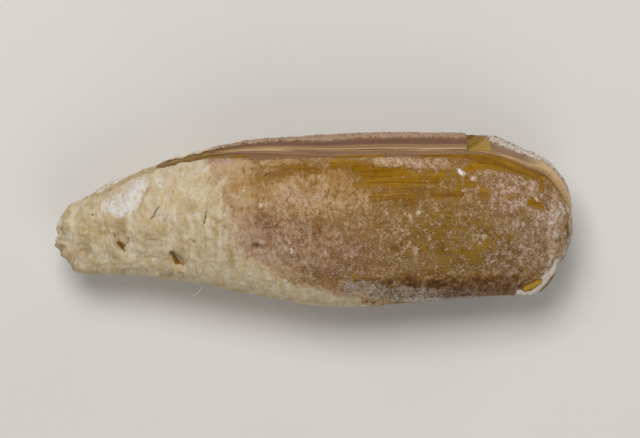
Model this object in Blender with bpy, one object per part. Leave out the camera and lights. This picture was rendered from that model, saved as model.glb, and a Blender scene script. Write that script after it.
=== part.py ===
"""Date mussel shell, closed, lying on its right valve with the left valve up.

X runs along the shell, from the ragged rear end at -X to the blunt front end at +X. +Y is
the belly side, where the parting line shows from above, and +Z is up. The origin is on the
ground under the middle of the shell.

The shell is modelled on its own axis, where Y lies in the plane between the valves, from
the hinge side to the belly side, and Z points out of the left valve. An empty then lifts it
off the ground and rolls it to the side that it rests on.
"""

import math

import bmesh
import bpy
from mathutils import Vector, noise

MM = 0.001

# Driving sizes, in millimetres
LENGTH = 45.0
CRUST = 0.16
HALF_LENGTH = LENGTH / 2 - CRUST
AXIS_HEIGHT = 6.7
VALVE_GAP = 0.2
WALL = 0.9
REAR_WALL = 1.7
HOLLOW_REAR = -18.0
HOLLOW_FRONT = 21.4
LIP_STEP = 0.5
REAR_SLANT = 0.2
REST_CRUST = 0.4

# The plane between the valves leans this far from lying flat
ROLL = math.radians(35.0)

# A section is a squarish oval: 2 would be an ellipse
SQUARENESS = 2.4
THICKNESS_SHARE = 0.85
OVAL = SQUARENESS / (SQUARENESS - 1)
REACH = (math.cos(ROLL) ** OVAL + (THICKNESS_SHARE * math.sin(ROLL)) ** OVAL) ** (1 / OVAL)

# Places along the shell run from -1 at the rear end to 1 at the front end.
# Fullness is half the section's width seen from above, before the round taper of the ends.
FULLNESS = ((-1.0, 5.4), (-0.97, 8.3), (-0.9, 7.1), (-0.75, 6.1), (-0.6, 6.0), (-0.29, 6.65), (0.1, 7.4),
            (0.48, 8.1), (0.8, 10.2), (0.9, 11.9), (1.0, 13.2))
# How far the middle of the section lies towards the belly side
CENTRE = ((-1.0, -2.2), (-0.9, -1.45), (-0.72, -0.5), (-0.6, -0.05), (-0.3, 0.2), (0.05, -0.15),
          (0.4, 0.15), (0.68, 0.25), (0.85, -0.3), (0.95, -0.1), (1.0, 0.2))
# The left valve's crust reaches round the belly side by this angle, in degrees
CRUST_REACH = ((-1.0, 40.0), (-0.7, 33.0), (-0.55, 22.0), (-0.4, 14.0), (-0.2, 7.0), (0.15, 0.0), (1.0, 0.0))
# Width of the bare band along the belly margin, measured over the surface
LEFT_BARE_BAND = ((-1.0, -1.0), (-0.88, -0.5), (-0.78, 0.8), (-0.62, 0.4), (-0.4, 0.6), (0.1, 1.3),
                  (0.6, 1.4), (0.75, 1.8), (0.9, 2.8), (1.0, 1.0))
RIGHT_BARE_BAND = ((-1.0, 0.4), (-0.5, 0.6), (0.0, 2.0), (0.6, 2.2), (0.9, 1.2), (1.0, 0.6))

# The groove of the hinge side, and the ligament that fills it
GROOVE_REAR = -0.04
GROOVE_FRONT = 0.84
GROOVE_ANGLE = math.radians(6.5)
LIGAMENT_HALF_WIDTH = 0.42
LIGAMENT_HALF_DEPTH = 0.5
LIGAMENT_SINK = 0.75

# Hollows in the left valve's crust: place seen from above, radius and depth
PITS = ((-16.4, -2.0, 0.75, 0.3), (-11.9, -3.4, 0.6, 0.28), (-20.0, -2.6, 0.6, 0.2))

# The chip in the right valve's belly margin: a straight rear edge, and a front edge that curves back to it
CHIP_REAR = 13.2
CHIP_WIDTH = 2.1
CHIP_LENGTH = 4.6
CHIP_REAR_DEPTH = 0.38
CHIP_FRONT_RISE = 0.08
CHIP_EDGE = 0.2

# The angular corner at the beak, and the notch in front of it, seen from above
BEAK_PLACE = Vector((18.9, -6.6))
BEAK_SWELL = 0.3
BEAK_NOTCH = Vector((21.1, -4.0))
BEAK_NOTCH_DEPTH = 0.3

# Cells of the outer surface along and around a valve. One cell of the hollow is as wide as several of those.
CELLS_ALONG = 68
CELLS_AROUND = 32
HOLLOW_CELL = 4


def smooth_step(low, high, value):
    """0 below low, 1 above high, and a smooth rise between them."""
    share = min(1.0, max(0.0, (value - low) / (high - low)))
    return share * share * (3 - 2 * share)


def curve_through(points, place):
    """Height at place of the smooth curve through the points."""
    place = min(points[-1][0], max(points[0][0], place))
    last = len(points) - 2
    k = next((i for i in range(last) if place <= points[i + 1][0]), last)
    (x0, y0), (x1, y1) = points[k], points[k + 1]
    before, after = points[max(k - 1, 0)], points[min(k + 2, last + 1)]
    run = x1 - x0
    slope0 = (y1 - before[1]) / (x1 - before[0]) * run
    slope1 = (after[1] - y0) / (after[0] - x0) * run
    t = (place - x0) / run
    start, rise = 2 * t**3 - 3 * t**2 + 1, 3 * t**2 - 2 * t**3
    return start * y0 + rise * y1 + (t**3 - 2 * t**2 + t) * slope0 + (t**3 - t**2) * slope1


def power(value, exponent):
    """A power that keeps its sign."""
    return math.copysign(abs(value) ** exponent, value)


def on_half_ball(p, q):
    """Carries a square grid, each way from -1 to 1, onto the upper half of a unit ball, with no pole."""
    x, y = p * math.sqrt(1 - q * q / 2), q * math.sqrt(1 - p * p / 2)
    radius = min(1.0, math.hypot(x, y))
    stretch = math.sin(radius * math.pi / 2) / radius if radius > 1e-9 else math.pi / 2
    return x * stretch, y * stretch, math.cos(radius * math.pi / 2)


def groove(place):
    """Half the angle that the hinge groove takes from the valves at this place."""
    return GROOVE_ANGLE * smooth_step(GROOVE_REAR, GROOVE_REAR + 0.12, place) * (
        1 - smooth_step(GROOVE_FRONT - 0.1, GROOVE_FRONT, place))


def around_angle(place, share, side):
    """Angle round the axis, from the belly margin at share 0 to the hinge margin at share 1."""
    reach = math.radians(curve_through(CRUST_REACH, place))
    if side > 0:
        return -reach + share * (math.pi - groove(place) + reach)
    return -reach - share * (math.pi - groove(place) - reach)


def bump(x, y, centre_x, centre_y, radius):
    """1 at a centre, falling smoothly to 0 at about twice the radius."""
    return math.exp(-((x - centre_x) ** 2 + (y - centre_y) ** 2) / radius**2)


def chip_mask(x, from_margin):
    """1 inside the chip in the right valve's belly margin."""
    front = CHIP_REAR + CHIP_WIDTH * math.sqrt(max(0.0, 1 - (from_margin / CHIP_LENGTH) ** 2))
    behind_rear = smooth_step(CHIP_REAR - CHIP_EDGE, CHIP_REAR + CHIP_EDGE, x)
    return behind_rear * (1 - smooth_step(front - CHIP_EDGE, front + CHIP_EDGE, x))


def relief(point, place, angle, from_margin, side):
    """How far the surface stands out of the plain oval form here, in millimetres."""
    x, y, z = point
    seed = Vector((0.0, 0.0, 40.0 * side))
    here = Vector(point)
    seen_y = y * math.cos(ROLL) - z * math.sin(ROLL)
    rear = 1 - smooth_step(-15.0, -7.0, x)
    end = 1 - smooth_step(-0.98, -0.86, place)
    bare = curve_through(LEFT_BARE_BAND if side > 0 else RIGHT_BARE_BAND, place)
    crusted = smooth_step(bare - 0.25, bare + 0.35, from_margin)
    high = CRUST * crusted
    high += crusted * (0.07 + 0.14 * rear) * noise.noise(here / 1.9 + seed)
    high += crusted * (0.05 + 0.07 * rear) * noise.noise(here / 0.9 + seed)
    wrinkle = noise.noise(Vector((x / 0.62, angle * 0.9, 7.0 * side)))
    high += 0.09 * wrinkle * (1 - smooth_step(-9.0, -4.0, x)) * smooth_step(-20.0, -17.0, x)
    high += 0.4 * end * noise.noise(here / 1.3 + seed)
    if side > 0:
        high -= sum(depth * bump(x, seen_y, px, py, radius) for px, py, radius, depth in PITS)
        high += BEAK_SWELL * bump(x, seen_y, *BEAK_PLACE, 1.2)
        high -= BEAK_NOTCH_DEPTH * bump(x, seen_y, *BEAK_NOTCH, 0.55)
    else:
        chip = chip_mask(x, from_margin)
        scoop = smooth_step(0.0, 0.6, (x - CHIP_REAR) / CHIP_WIDTH)
        inside = CHIP_FRONT_RISE * scoop - CHIP_REAR_DEPTH * (1 - scoop)
        high = high * (1 - chip) + inside * chip
    return high


def distance_from_margin(ball, place):
    """About how far a point lies from the belly and front margins, over the surface, in millimetres."""
    radius = curve_through(FULLNESS, place) / REACH * (1 + THICKNESS_SHARE) / 2
    hinge_side = smooth_step(0.05, 0.5, -ball[1]) * (1 - smooth_step(0.8, 0.95, place))
    return math.asin(min(1.0, ball[2])) * radius + 6.0 * hinge_side


def margin_step(ball):
    """How far the left valve's margin stands back from the right valve's, in millimetres."""
    front = smooth_step(0.5, 0.95, ball[0])
    belly = smooth_step(-0.08, 0.25, ball[1])
    return LIP_STEP * front * belly * (1 - smooth_step(0.0, 0.35, ball[2]))


def outward(x_share, angle, ring):
    """Direction out of the surface, along the section and, at the blunt ends, along the shell."""
    along = Vector((x_share**7, ring * math.cos(angle), ring * math.sin(angle)))
    return along.normalized()


def on_valve(p, q, side, inner):
    """A point of the outer or inner surface of one valve, on the shell's own axis, in millimetres."""
    ball = on_half_ball(p, q)
    ring = math.hypot(ball[1], ball[2])
    share = math.atan2(ball[2], ball[1]) / math.pi if ring > 1e-9 else 0.5
    x = ball[0] * HALF_LENGTH
    if inner:
        x = (HOLLOW_REAR + HOLLOW_FRONT) / 2 + ball[0] * (HOLLOW_FRONT - HOLLOW_REAR) / 2
    place = x / HALF_LENGTH
    angle = around_angle(place, share, side)
    half_height = curve_through(FULLNESS, place) / REACH
    if inner:
        half_height -= WALL + (REAR_WALL - WALL) * (1 - smooth_step(-0.8, -0.3, place))
    half_height *= ring
    rise = half_height * power(math.cos(angle), 2 / SQUARENESS)
    x -= REAR_SLANT * rise * (1 - smooth_step(-0.98, -0.85, place))
    y = curve_through(CENTRE, place) / math.cos(ROLL) + rise
    z = half_height * THICKNESS_SHARE * power(math.sin(angle), 2 / SQUARENESS)
    point = Vector((x, y, z))
    away = outward(place, angle, ring)
    if not inner:
        point += away * relief(point, place, angle, distance_from_margin(ball, place), side)
    if side > 0:
        point -= away * margin_step(ball)
    point.z += side * VALVE_GAP / 2
    return point if inner else rested(point)


def rested(point):
    """Fills what hangs just above the ground with crust and wears it flat, for the shell to rest on."""
    up = Vector((0.0, math.sin(ROLL), math.cos(ROLL)))
    height = AXIS_HEIGHT + point.dot(up)
    if height > 3 * REST_CRUST:
        return point
    return point + up * (max(0.0, 1.5 * (height - REST_CRUST)) - height)


def surface(mesh, cells_along, cells_around, side, inner):
    """Adds one surface of a valve as a grid of triangles, and gives back its points by place in the grid."""
    points = {}
    for i in range(cells_along + 1):
        for j in range(cells_around + 1):
            p, q = 2 * i / cells_along - 1, 1 - 2 * j / cells_around
            points[i, j] = mesh.verts.new(on_valve(p, q, side, inner) * MM)
    for i in range(cells_along):
        for j in range(cells_around):
            a, b = points[i, j], points[i + 1, j]
            c, d = points[i + 1, j + 1], points[i, j + 1]
            # Each diagonal points at the middle, so the grid's corners stay well shaped.
            towards_middle = (i < cells_along / 2) == (j < cells_around / 2)
            for corners in ((a, b, c), (a, c, d)) if towards_middle else ((a, b, d), (b, c, d)):
                mesh.faces.new(corners)
    return points


def margin(points, cells_along, cells_around):
    """The points round the edge of a grid, in order."""
    route = [(i, 0) for i in range(cells_along)]
    route += [(cells_along, j) for j in range(cells_around)]
    route += [(i, cells_around) for i in range(cells_along, 0, -1)]
    route += [(0, j) for j in range(cells_around, 0, -1)]
    return [points[key] for key in route]


def stitch(mesh, outer, inner):
    """Closes the valve's edge between its outer margin and the inner one, which has fewer points."""
    for k, near in enumerate(inner):
        after = inner[(k + 1) % len(inner)]
        run = [outer[(HOLLOW_CELL * k + step) % len(outer)] for step in range(HOLLOW_CELL + 1)]
        middle = HOLLOW_CELL // 2
        for step in range(HOLLOW_CELL):
            mesh.faces.new((run[step], run[step + 1], near if step < middle else after))
        mesh.faces.new((run[middle], after, near))


def material(name, colour, roughness):
    """A plain non-metallic finish."""
    made = bpy.data.materials.new(name)
    made.use_nodes = True
    shader = made.node_tree.nodes["Principled BSDF"]
    shader.inputs["Base Color"].default_value = (*colour, 1.0)
    shader.inputs["Roughness"].default_value = roughness
    shader.inputs["Metallic"].default_value = 0.0
    return made


def add_object(name, mesh, finish, axis, collection):
    """Turns a finished bmesh into a named object that hangs on the shell's axis."""
    mesh.normal_update()
    bmesh.ops.recalc_face_normals(mesh, faces=mesh.faces)
    data = bpy.data.meshes.new(name)
    mesh.to_mesh(data)
    mesh.free()
    data.materials.append(finish)
    data.shade_smooth()
    data.set_sharp_from_angle(angle=math.radians(50))
    made = bpy.data.objects.new(name, data)
    made.parent = axis
    collection.objects.link(made)
    return made


def add_valve(name, side, finish, axis, collection):
    """One valve: its outer surface with the crust, its smooth hollow, and the edge between them."""
    mesh = bmesh.new()
    outer = surface(mesh, CELLS_ALONG, CELLS_AROUND, side, inner=False)
    along, around = CELLS_ALONG // HOLLOW_CELL, CELLS_AROUND // HOLLOW_CELL
    inner = surface(mesh, along, around, side, inner=True)
    stitch(mesh, margin(outer, CELLS_ALONG, CELLS_AROUND), margin(inner, along, around))
    return add_object(name, mesh, finish, axis, collection)


def add_ligament(finish, axis, collection):
    """The horny strap in the hinge groove: a long spindle that follows the hinge margin."""
    mesh = bmesh.new()
    bmesh.ops.create_uvsphere(mesh, u_segments=8, v_segments=12, radius=1.0)
    rear, front = GROOVE_REAR + 0.07, GROOVE_FRONT - 0.06
    for vertex in mesh.verts:
        across, deep, along = vertex.co
        place = (rear + front) / 2 + along * (front - rear) / 2
        ring = math.sqrt(1 - place * place)
        hinge = curve_through(CENTRE, place) / math.cos(ROLL) - ring * curve_through(FULLNESS, place) / REACH
        vertex.co = Vector((
            place * HALF_LENGTH,
            hinge + LIGAMENT_SINK + deep * LIGAMENT_HALF_DEPTH,
            across * LIGAMENT_HALF_WIDTH,
        )) * MM
    return add_object("ligament", mesh, finish, axis, collection)


def main():
    """Clears the scene and builds the three pieces of the shell."""
    for old in list(bpy.data.objects):
        bpy.data.objects.remove(old)
    collection = bpy.data.collections.new("date_mussel_shell")
    bpy.context.scene.collection.children.link(collection)

    axis = bpy.data.objects.new("shell_axis", None)
    axis.location = (0.0, 0.0, AXIS_HEIGHT * MM)
    axis.rotation_euler = (ROLL, 0.0, 0.0)
    collection.objects.link(axis)

    crusted_shell = material("crusted_shell", (0.50, 0.37, 0.22), 0.6)
    horn = material("horn", (0.10, 0.045, 0.015), 0.4)
    add_valve("left_valve", 1, crusted_shell, axis, collection)
    add_valve("right_valve", -1, crusted_shell, axis, collection)
    add_ligament(horn, axis, collection)


main()
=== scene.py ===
"""Date mussel shell: the looks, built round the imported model.

The shell lies on its right valve with the left valve up. X runs along it, from the ragged
rear end at -X to the blunt front end at +X. +Y is the belly side, where the parting line
shows from above. Sizes in the classes are millimetres; meshes are made in metres.
"""

import logging
import math
from collections.abc import Callable
from dataclasses import dataclass
from enum import Enum

import bpy
import numpy as np
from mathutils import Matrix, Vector, noise


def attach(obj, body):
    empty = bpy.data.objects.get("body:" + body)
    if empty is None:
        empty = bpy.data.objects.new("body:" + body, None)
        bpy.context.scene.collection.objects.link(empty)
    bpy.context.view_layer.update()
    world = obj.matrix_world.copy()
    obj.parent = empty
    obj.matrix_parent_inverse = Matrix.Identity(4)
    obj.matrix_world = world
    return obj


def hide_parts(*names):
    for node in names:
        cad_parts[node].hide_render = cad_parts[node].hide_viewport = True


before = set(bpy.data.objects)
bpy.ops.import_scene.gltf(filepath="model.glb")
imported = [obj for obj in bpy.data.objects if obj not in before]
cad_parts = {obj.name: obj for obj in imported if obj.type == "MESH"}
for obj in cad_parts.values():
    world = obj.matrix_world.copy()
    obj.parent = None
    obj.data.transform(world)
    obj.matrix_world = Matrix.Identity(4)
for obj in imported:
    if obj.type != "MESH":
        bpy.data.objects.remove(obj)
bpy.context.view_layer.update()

MM = 0.001
LOG = logging.getLogger("date_mussel_shell")

Point = tuple[float, float, float]
Pair = tuple[float, float]
Route = tuple[Pair, ...]
Stops = tuple[tuple[float, Point], ...]

# the two steps of growth before the blunt end, the fold below them and the lip at the beak
FIRST_STEP = ((20.4, 1.05), (20.65, 0.7), (20.77, 0.17), (20.77, -0.26))
SECOND_STEP = ((20.35, -0.35), (20.65, -0.6), (20.87, -1.13), (20.9, -1.75), (20.77, -2.35), (20.6, -2.8))
GROWTH_FOLD = ((20.55, -3.3), (20.3, -4.2), (19.85, -4.97), (19.3, -5.5))
BEAK_LIP = ((20.85, -4.2), (20.45, -4.8), (20.05, -5.45), (19.5, -6.05), (18.9, -6.45), (18.3, -6.45))


class Side(Enum):
    """Which valve a piece belongs to; the value is the sign of its side of the parting plane."""

    LEFT = 1
    RIGHT = -1


class Layer(Enum):
    """A quantity laid over the shell that its finishes read, each from 0 to about 1."""

    COVER = "cover"
    CHALK = "chalk"
    AMBER = "amber"
    OLIVE = "olive"
    PINK = "pink"
    WHITE = "white"
    STAIN = "stain"
    DARK = "dark"
    PALE = "pale"
    ROUGH = "rough"


COVER, CHALK, AMBER, OLIVE, PINK, WHITE, STAIN, DARK, PALE, ROUGH = Layer


# Small maths


def smooth_step(low: float, high: float, value: np.ndarray) -> np.ndarray:
    """Gives 0 below low, 1 above high, and a smooth rise between them."""
    share = np.clip((value - low) / (high - low), 0.0, 1.0)
    return share * share * (3 - 2 * share)


def curve_through(points: Route, place: np.ndarray) -> np.ndarray:
    """Reads a smooth curve through a few points.

    Args:
        points: Pairs of place and height, in rising order of place.
        place: Where to read the curve.

    Returns:
        The curve's height at each place.
    """
    at = np.array([point[0] for point in points])
    high = np.array([point[1] for point in points])
    slopes = np.empty(len(points))
    slopes[1:-1] = (high[2:] - high[:-2]) / (at[2:] - at[:-2])
    slopes[0] = (high[1] - high[0]) / (at[1] - at[0])
    slopes[-1] = (high[-1] - high[-2]) / (at[-1] - at[-2])
    place = np.clip(place, at[0], at[-1])
    k = np.clip(np.searchsorted(at, place, side="left") - 1, 0, len(points) - 2)
    run = at[k + 1] - at[k]
    t = (place - at[k]) / run
    rise = 3 * t**2 - 2 * t**3
    bends = (t**3 - 2 * t**2 + t) * slopes[k] * run + (t**3 - t**2) * slopes[k + 1] * run
    return (1 - rise) * high[k] + rise * high[k + 1] + bends


def signed_power(value: np.ndarray, exponent: float) -> np.ndarray:
    """Raises to a power and keeps the sign."""
    return np.copysign(np.abs(value) ** exponent, value)


def rough(points: np.ndarray, size: float, seed: float = 0.0) -> np.ndarray:
    """Reads a lumpy noise from about -1 to 1 at each point, with lumps of a size in millimetres."""
    scaled = points / size + np.array((0.0, 0.0, seed))
    return np.array([noise.noise(place) for place in scaled.tolist()])


def oval_bump(x: np.ndarray, y: np.ndarray, centre: Pair, radius: float) -> np.ndarray:
    """Gives 1 at a centre and falls smoothly to 0 at about twice the radius."""
    return np.exp(-((x - centre[0]) ** 2 + (y - centre[1]) ** 2) / radius**2)


def route_distance(x: np.ndarray, y: np.ndarray, route: Route) -> np.ndarray:
    """Gives how far each place lies from a route of straight runs."""
    nearest = np.full_like(x, np.inf)
    for (ax, ay), (bx, by) in zip(route, route[1:]):
        dx, dy = bx - ax, by - ay
        share = np.clip(((x - ax) * dx + (y - ay) * dy) / (dx * dx + dy * dy + 1e-12), 0.0, 1.0)
        nearest = np.minimum(nearest, np.hypot(x - ax - share * dx, y - ay - share * dy))
    return nearest


# The form of the shell


@dataclass
class Skin:
    """A set of points on one surface of a valve, in millimetres on the shell's own axis."""

    points: np.ndarray
    place: np.ndarray
    edge: np.ndarray
    run: np.ndarray
    side: Side

    def world(self, form: "ShellForm") -> np.ndarray:
        """Gives the points in the row frame, in millimetres."""
        lean, lift = form.roll, form.axis_height
        x, y, z = self.points.T
        return np.stack([
            x,
            y * math.cos(lean) - z * math.sin(lean),
            y * math.sin(lean) + z * math.cos(lean) + lift,
        ], axis=1)


@dataclass
class ShellForm:
    """The form of both valves, with the same driving sizes as the solids, in millimetres."""

    crust: float = 0.16
    half_length: float = 22.34
    axis_height: float = 6.7
    wall: float = 0.9
    rear_wall: float = 1.7
    hollow_rear: float = -18.0
    hollow_front: float = 21.4
    lip_step: float = 0.5
    rear_slant: float = 0.2
    rest_crust: float = 0.4
    roll: float = math.radians(35.0)
    squareness: float = 2.4
    thickness_share: float = 0.85
    gap: float = 0.09
    fullness: Route = (
        (-1.0, 5.4), (-0.97, 8.3), (-0.9, 7.1), (-0.75, 6.1), (-0.6, 6.0), (-0.29, 6.65), (0.1, 7.4),
        (0.48, 8.1), (0.8, 10.2), (0.9, 11.9), (1.0, 13.2),
    )
    centre: Route = (
        (-1.0, -2.2), (-0.9, -1.45), (-0.72, -0.5), (-0.6, -0.05), (-0.3, 0.2), (0.05, -0.15), (0.4, 0.15),
        (0.68, 0.25), (0.85, -0.3), (0.95, -0.1), (1.0, 0.2),
    )
    crust_reach: Route = (
        (-1.0, 40.0), (-0.7, 33.0), (-0.55, 22.0), (-0.4, 14.0), (-0.2, 7.0), (0.15, 0.0), (1.0, 0.0),
    )
    flare: Route = (
        (-1.0, 0.0), (0.66, 0.0), (0.74, 0.11), (0.81, 0.24), (0.9, 0.27), (0.95, 0.2), (1.0, 0.0),
    )
    left_bare_band: Route = (
        (-1.0, -1.0), (-0.8, -0.5), (-0.66, -0.2), (-0.61, 0.9), (-0.52, 0.95), (-0.4, 1.0), (-0.3, 1.15),
        (-0.2, 1.3), (-0.06, 0.9), (0.2, 0.85), (0.45, 0.8), (0.57, 1.0), (0.63, 1.4), (0.685, 2.0),
        (0.744, 1.7), (0.8, 1.2), (0.84, 0.75), (0.875, 0.55), (0.9, 0.4), (0.95, 0.42), (0.98, 0.35),
        (1.0, 0.2),
    )
    right_bare_band: Route = (
        (-1.0, 0.4), (-0.5, 0.55), (0.0, 1.35), (0.2, 1.6), (0.64, 1.7), (0.7, 1.15), (0.8, 0.95), (0.9, 0.8),
        (1.0, 0.5),
    )
    outer_band: Route = (
        (-1.0, 0.3), (-0.5, 0.35), (-0.3, 0.5), (-0.2, 0.6), (0.0, 0.55), (0.2, 0.5), (0.45, 0.42),
        (0.57, 0.36), (0.63, 0.2), (0.685, 0.08), (0.74, 0.05), (1.0, 0.04),
    )
    groove_rear: float = -0.04
    groove_front: float = 0.84
    groove_angle: float = math.radians(6.5)
    groove_start: float = 0.12
    groove_end: float = 0.1
    # where zones of the crust start or end: along the shell in millimetres, or as a share of its half length
    thick_crust: Pair = (-15.0, -7.0)
    wrinkles_start: Pair = (-20.0, -17.0)
    wrinkles_end: Pair = (-9.0, -4.0)
    heap_start: Pair = (14.4, 15.4)
    heap_end: Pair = (19.0, 20.5)
    rough_end: Pair = (-0.98, -0.86)
    rough_tip: Pair = (-0.985, -0.93)
    end_height: float = 0.4
    wrinkle_height: float = 0.09
    heap_height: float = 0.07
    ledge_wander: float = 0.12
    ledge_width: Pair = (0.12, 0.2)
    # each is the size of the tip's lumps and their height
    tip_lumps: tuple[Pair, ...] = ((0.55, 0.22), (0.3, 0.12))
    # each is the size of the crust's lumps, their height, and how much higher they are at the rear
    crust_lumps: tuple[Point, ...] = ((1.9, 0.07, 0.14), (0.9, 0.05, 0.07), (0.4, 0.02, 0.04))
    # each is a place seen from above, a radius and a depth
    pits: tuple[tuple[float, ...], ...] = (
        (-16.4, -2.0, 0.75, 0.3), (-11.9, -3.4, 0.6, 0.28), (-20.0, -2.6, 0.6, 0.2),
    )
    chip_rear: float = 13.2
    chip_width: float = 2.1
    chip_length: float = 4.6
    chip_softness: float = 0.07
    chip_rear_depth: float = 0.38
    chip_front_rise: float = 0.08
    beak: Pair = (18.9, -6.6)
    beak_radius: float = 1.2
    beak_swell: float = 0.3
    beak_notch: Pair = (21.1, -4.0)
    beak_notch_radius: float = 0.55
    beak_notch_depth: float = 0.3
    # each is a route seen from above, a half width and a height
    ridges: tuple[tuple[Route, float, float], ...] = (
        # the folds of the chalk
        (((-13.3, 0.9), (-13.9, -0.1), (-14.3, -1.0)), 0.35, 0.13),
        (((-12.5, 0.6), (-12.9, -0.2), (-13.1, -0.9)), 0.3, 0.1),
        (((-8.1, 2.5), (-8.1, 1.3), (-8.4, 0.5)), 0.16, 0.1),
        (((-8.6, 2.4), (-8.5, 1.2)), 0.12, -0.06),
        (((-9.0, 0.7), (-9.1, 0.0), (-9.2, -0.4)), 0.14, 0.1),
        (((-9.8, -0.3), (-9.3, -1.1)), 0.16, 0.08),
        (((-10.8, -0.5), (-11.0, -2.2)), 0.3, 0.08),
        (((-9.2, -2.3), (-9.4, -4.2)), 0.35, 0.08),
        (((-17.3, -1.4), (-17.0, -2.1), (-16.55, -2.7)), 0.2, -0.2),
        (((-16.1, -1.7), (-16.2, -2.2)), 0.12, -0.12),
        (((-17.4, -1.1), (-17.5, -1.9), (-16.9, -2.9)), 0.16, 0.1),
        (((-12.3, -3.0), (-12.0, -3.65), (-11.5, -3.95)), 0.2, -0.4),
        (((-8.45, 0.0), (-8.25, -0.35), (-8.6, -1.0)), 0.12, -0.1),
        (((-5.1, -2.3), (-4.5, -2.4)), 0.22, -0.16),
        # the steps of growth and the pale lip before the blunt end
        (FIRST_STEP, 0.14, 0.07),
        (SECOND_STEP, 0.14, 0.08),
        (((21.9, 0.6), (22.0, -0.4), (22.0, -1.7)), 0.12, -0.05),
        (GROWTH_FOLD, 0.12, 0.06),
        (BEAK_LIP, 0.24, 0.16),
        (((20.5, -4.3), (20.1, -4.95), (19.7, -5.5), (19.0, -6.05)), 0.12, -0.08),
    )
    # each is a place seen from above, a radius and a height
    lumps: tuple[tuple[float, ...], ...] = (
        (-15.6, 4.3, 0.28, 0.16), (-12.0, 5.5, 0.3, 0.12), (-10.6, 5.9, 0.3, 0.1),
        (-16.6, 1.3, 0.9, 0.16), (-15.7, 2.2, 0.8, 0.14), (-15.1, -0.3, 0.5, 0.08),
        (-21.93, -2.53, 0.28, -0.45), (-22.3, -1.35, 0.22, -0.22), (-21.5, 0.5, 0.3, -0.16),
        (-20.4, -2.8, 0.5, -0.1), (-16.6, -2.55, 0.35, -0.28), (-16.9, -0.9, 0.6, -0.12),
        (-11.75, -3.65, 0.34, -0.42), (-12.2, -3.1, 0.2, -0.2), (-14.46, 2.53, 0.35, -0.07),
        (-18.5, -2.4, 0.2, -0.08), (-10.44, -1.94, 0.18, -0.09),
        (12.68, 4.05, 0.22, 0.12), (13.65, 3.5, 0.26, 0.06), (18.95, -6.75, 0.4, 0.22),
    )

    @property
    def reach(self) -> float:
        """How far a section of unit height reaches sideways, seen from above."""
        oval = self.squareness / (self.squareness - 1)
        flat = math.cos(self.roll) ** oval + (self.thickness_share * math.sin(self.roll)) ** oval
        return flat ** (1 / oval)

    def groove(self, place: np.ndarray) -> np.ndarray:
        """Half the angle that the hinge groove takes from the valves."""
        start = smooth_step(self.groove_rear, self.groove_rear + self.groove_start, place)
        end = smooth_step(self.groove_front - self.groove_end, self.groove_front, place)
        return self.groove_angle * start * (1 - end)

    def around_angle(self, place: np.ndarray, share: np.ndarray, side: Side) -> np.ndarray:
        """Angle round the axis, from the belly margin at share 0 to the hinge margin at share 1."""
        reach = np.radians(curve_through(self.crust_reach, place))
        if side is Side.LEFT:
            return -reach + share * (math.pi - self.groove(place) + reach)
        return -reach - share * (math.pi - self.groove(place) - reach)

    def chip(self, x: np.ndarray, edge: np.ndarray, softness: float) -> np.ndarray:
        """Gives 1 inside the chip in the right valve's belly margin, with an outline of some softness."""
        curve = np.sqrt(np.maximum(0.0, 1 - (edge / self.chip_length) ** 2))
        front = self.chip_rear + self.chip_width * curve
        behind = smooth_step(self.chip_rear - softness, self.chip_rear + softness, x)
        return behind * (1 - smooth_step(front - softness, front + softness, x))

    def skin(self, p: np.ndarray, q: np.ndarray, side: Side, inner: bool) -> Skin:
        """Places points of one valve's outer or inner surface.

        Args:
            p: Place in the square grid along the shell, from -1 to 1.
            q: Place in the square grid around the shell, 1 at the belly margin and -1 at the hinge.
            side: The valve.
            inner: Whether the points belong to the hollow.

        Returns:
            The points and what the finishes need to know of them.
        """
        ball = half_ball(p, q)
        ring = np.hypot(ball[:, 1], ball[:, 2])
        share = np.where(ring > 1e-9, np.arctan2(ball[:, 2], ball[:, 1]) / math.pi, 0.5)
        x = ball[:, 0] * self.half_length
        if inner:
            length = self.hollow_front - self.hollow_rear
            x = (self.hollow_rear + self.hollow_front) / 2 + ball[:, 0] * length / 2
        place = x / self.half_length
        angle = self.around_angle(place, share, side)
        half_height = curve_through(self.fullness, place) / self.reach
        edge = self.distance_from_margin(ball, place)
        if inner:
            half_height -= self.wall + (self.rear_wall - self.wall) * (1 - smooth_step(-0.8, -0.3, place))
        half_height *= ring
        rise = half_height * signed_power(np.cos(angle), 2 / self.squareness)
        x = x - self.rear_slant * rise * (1 - smooth_step(-0.98, -0.85, place))
        y = curve_through(self.centre, place) / math.cos(self.roll) + rise
        z = half_height * self.thickness_share * signed_power(np.sin(angle), 2 / self.squareness)
        points = np.stack([x, y, z], axis=1)
        away = np.stack([ball[:, 0] ** 7, ring * np.cos(angle), ring * np.sin(angle)], axis=1)
        away /= np.maximum(np.linalg.norm(away, axis=1), 1e-9)[:, None]
        if not inner:
            points = points + away * self.relief(points, place, angle, edge, side)[:, None]
        if side is Side.LEFT:
            points = points - away * self.margin_step(ball)[:, None]
        points[:, 1] += self.flared(ball, place)
        points[:, 2] += side.value * self.gap / 2
        if not inner:
            points = self.rested(points)
        run = np.arctan2(ball[:, 1], ball[:, 0]) * self.half_length
        return Skin(points, place, edge, run, side)

    def distance_from_margin(self, ball: np.ndarray, place: np.ndarray) -> np.ndarray:
        """About how far each point lies from the belly and front margins, over the surface."""
        radius = curve_through(self.fullness, place) / self.reach * (1 + self.thickness_share) / 2
        hinge_side = smooth_step(0.05, 0.5, -ball[:, 1]) * (1 - smooth_step(0.8, 0.95, place))
        return np.arcsin(np.clip(ball[:, 2], 0.0, 1.0)) * radius + 6.0 * hinge_side

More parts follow.
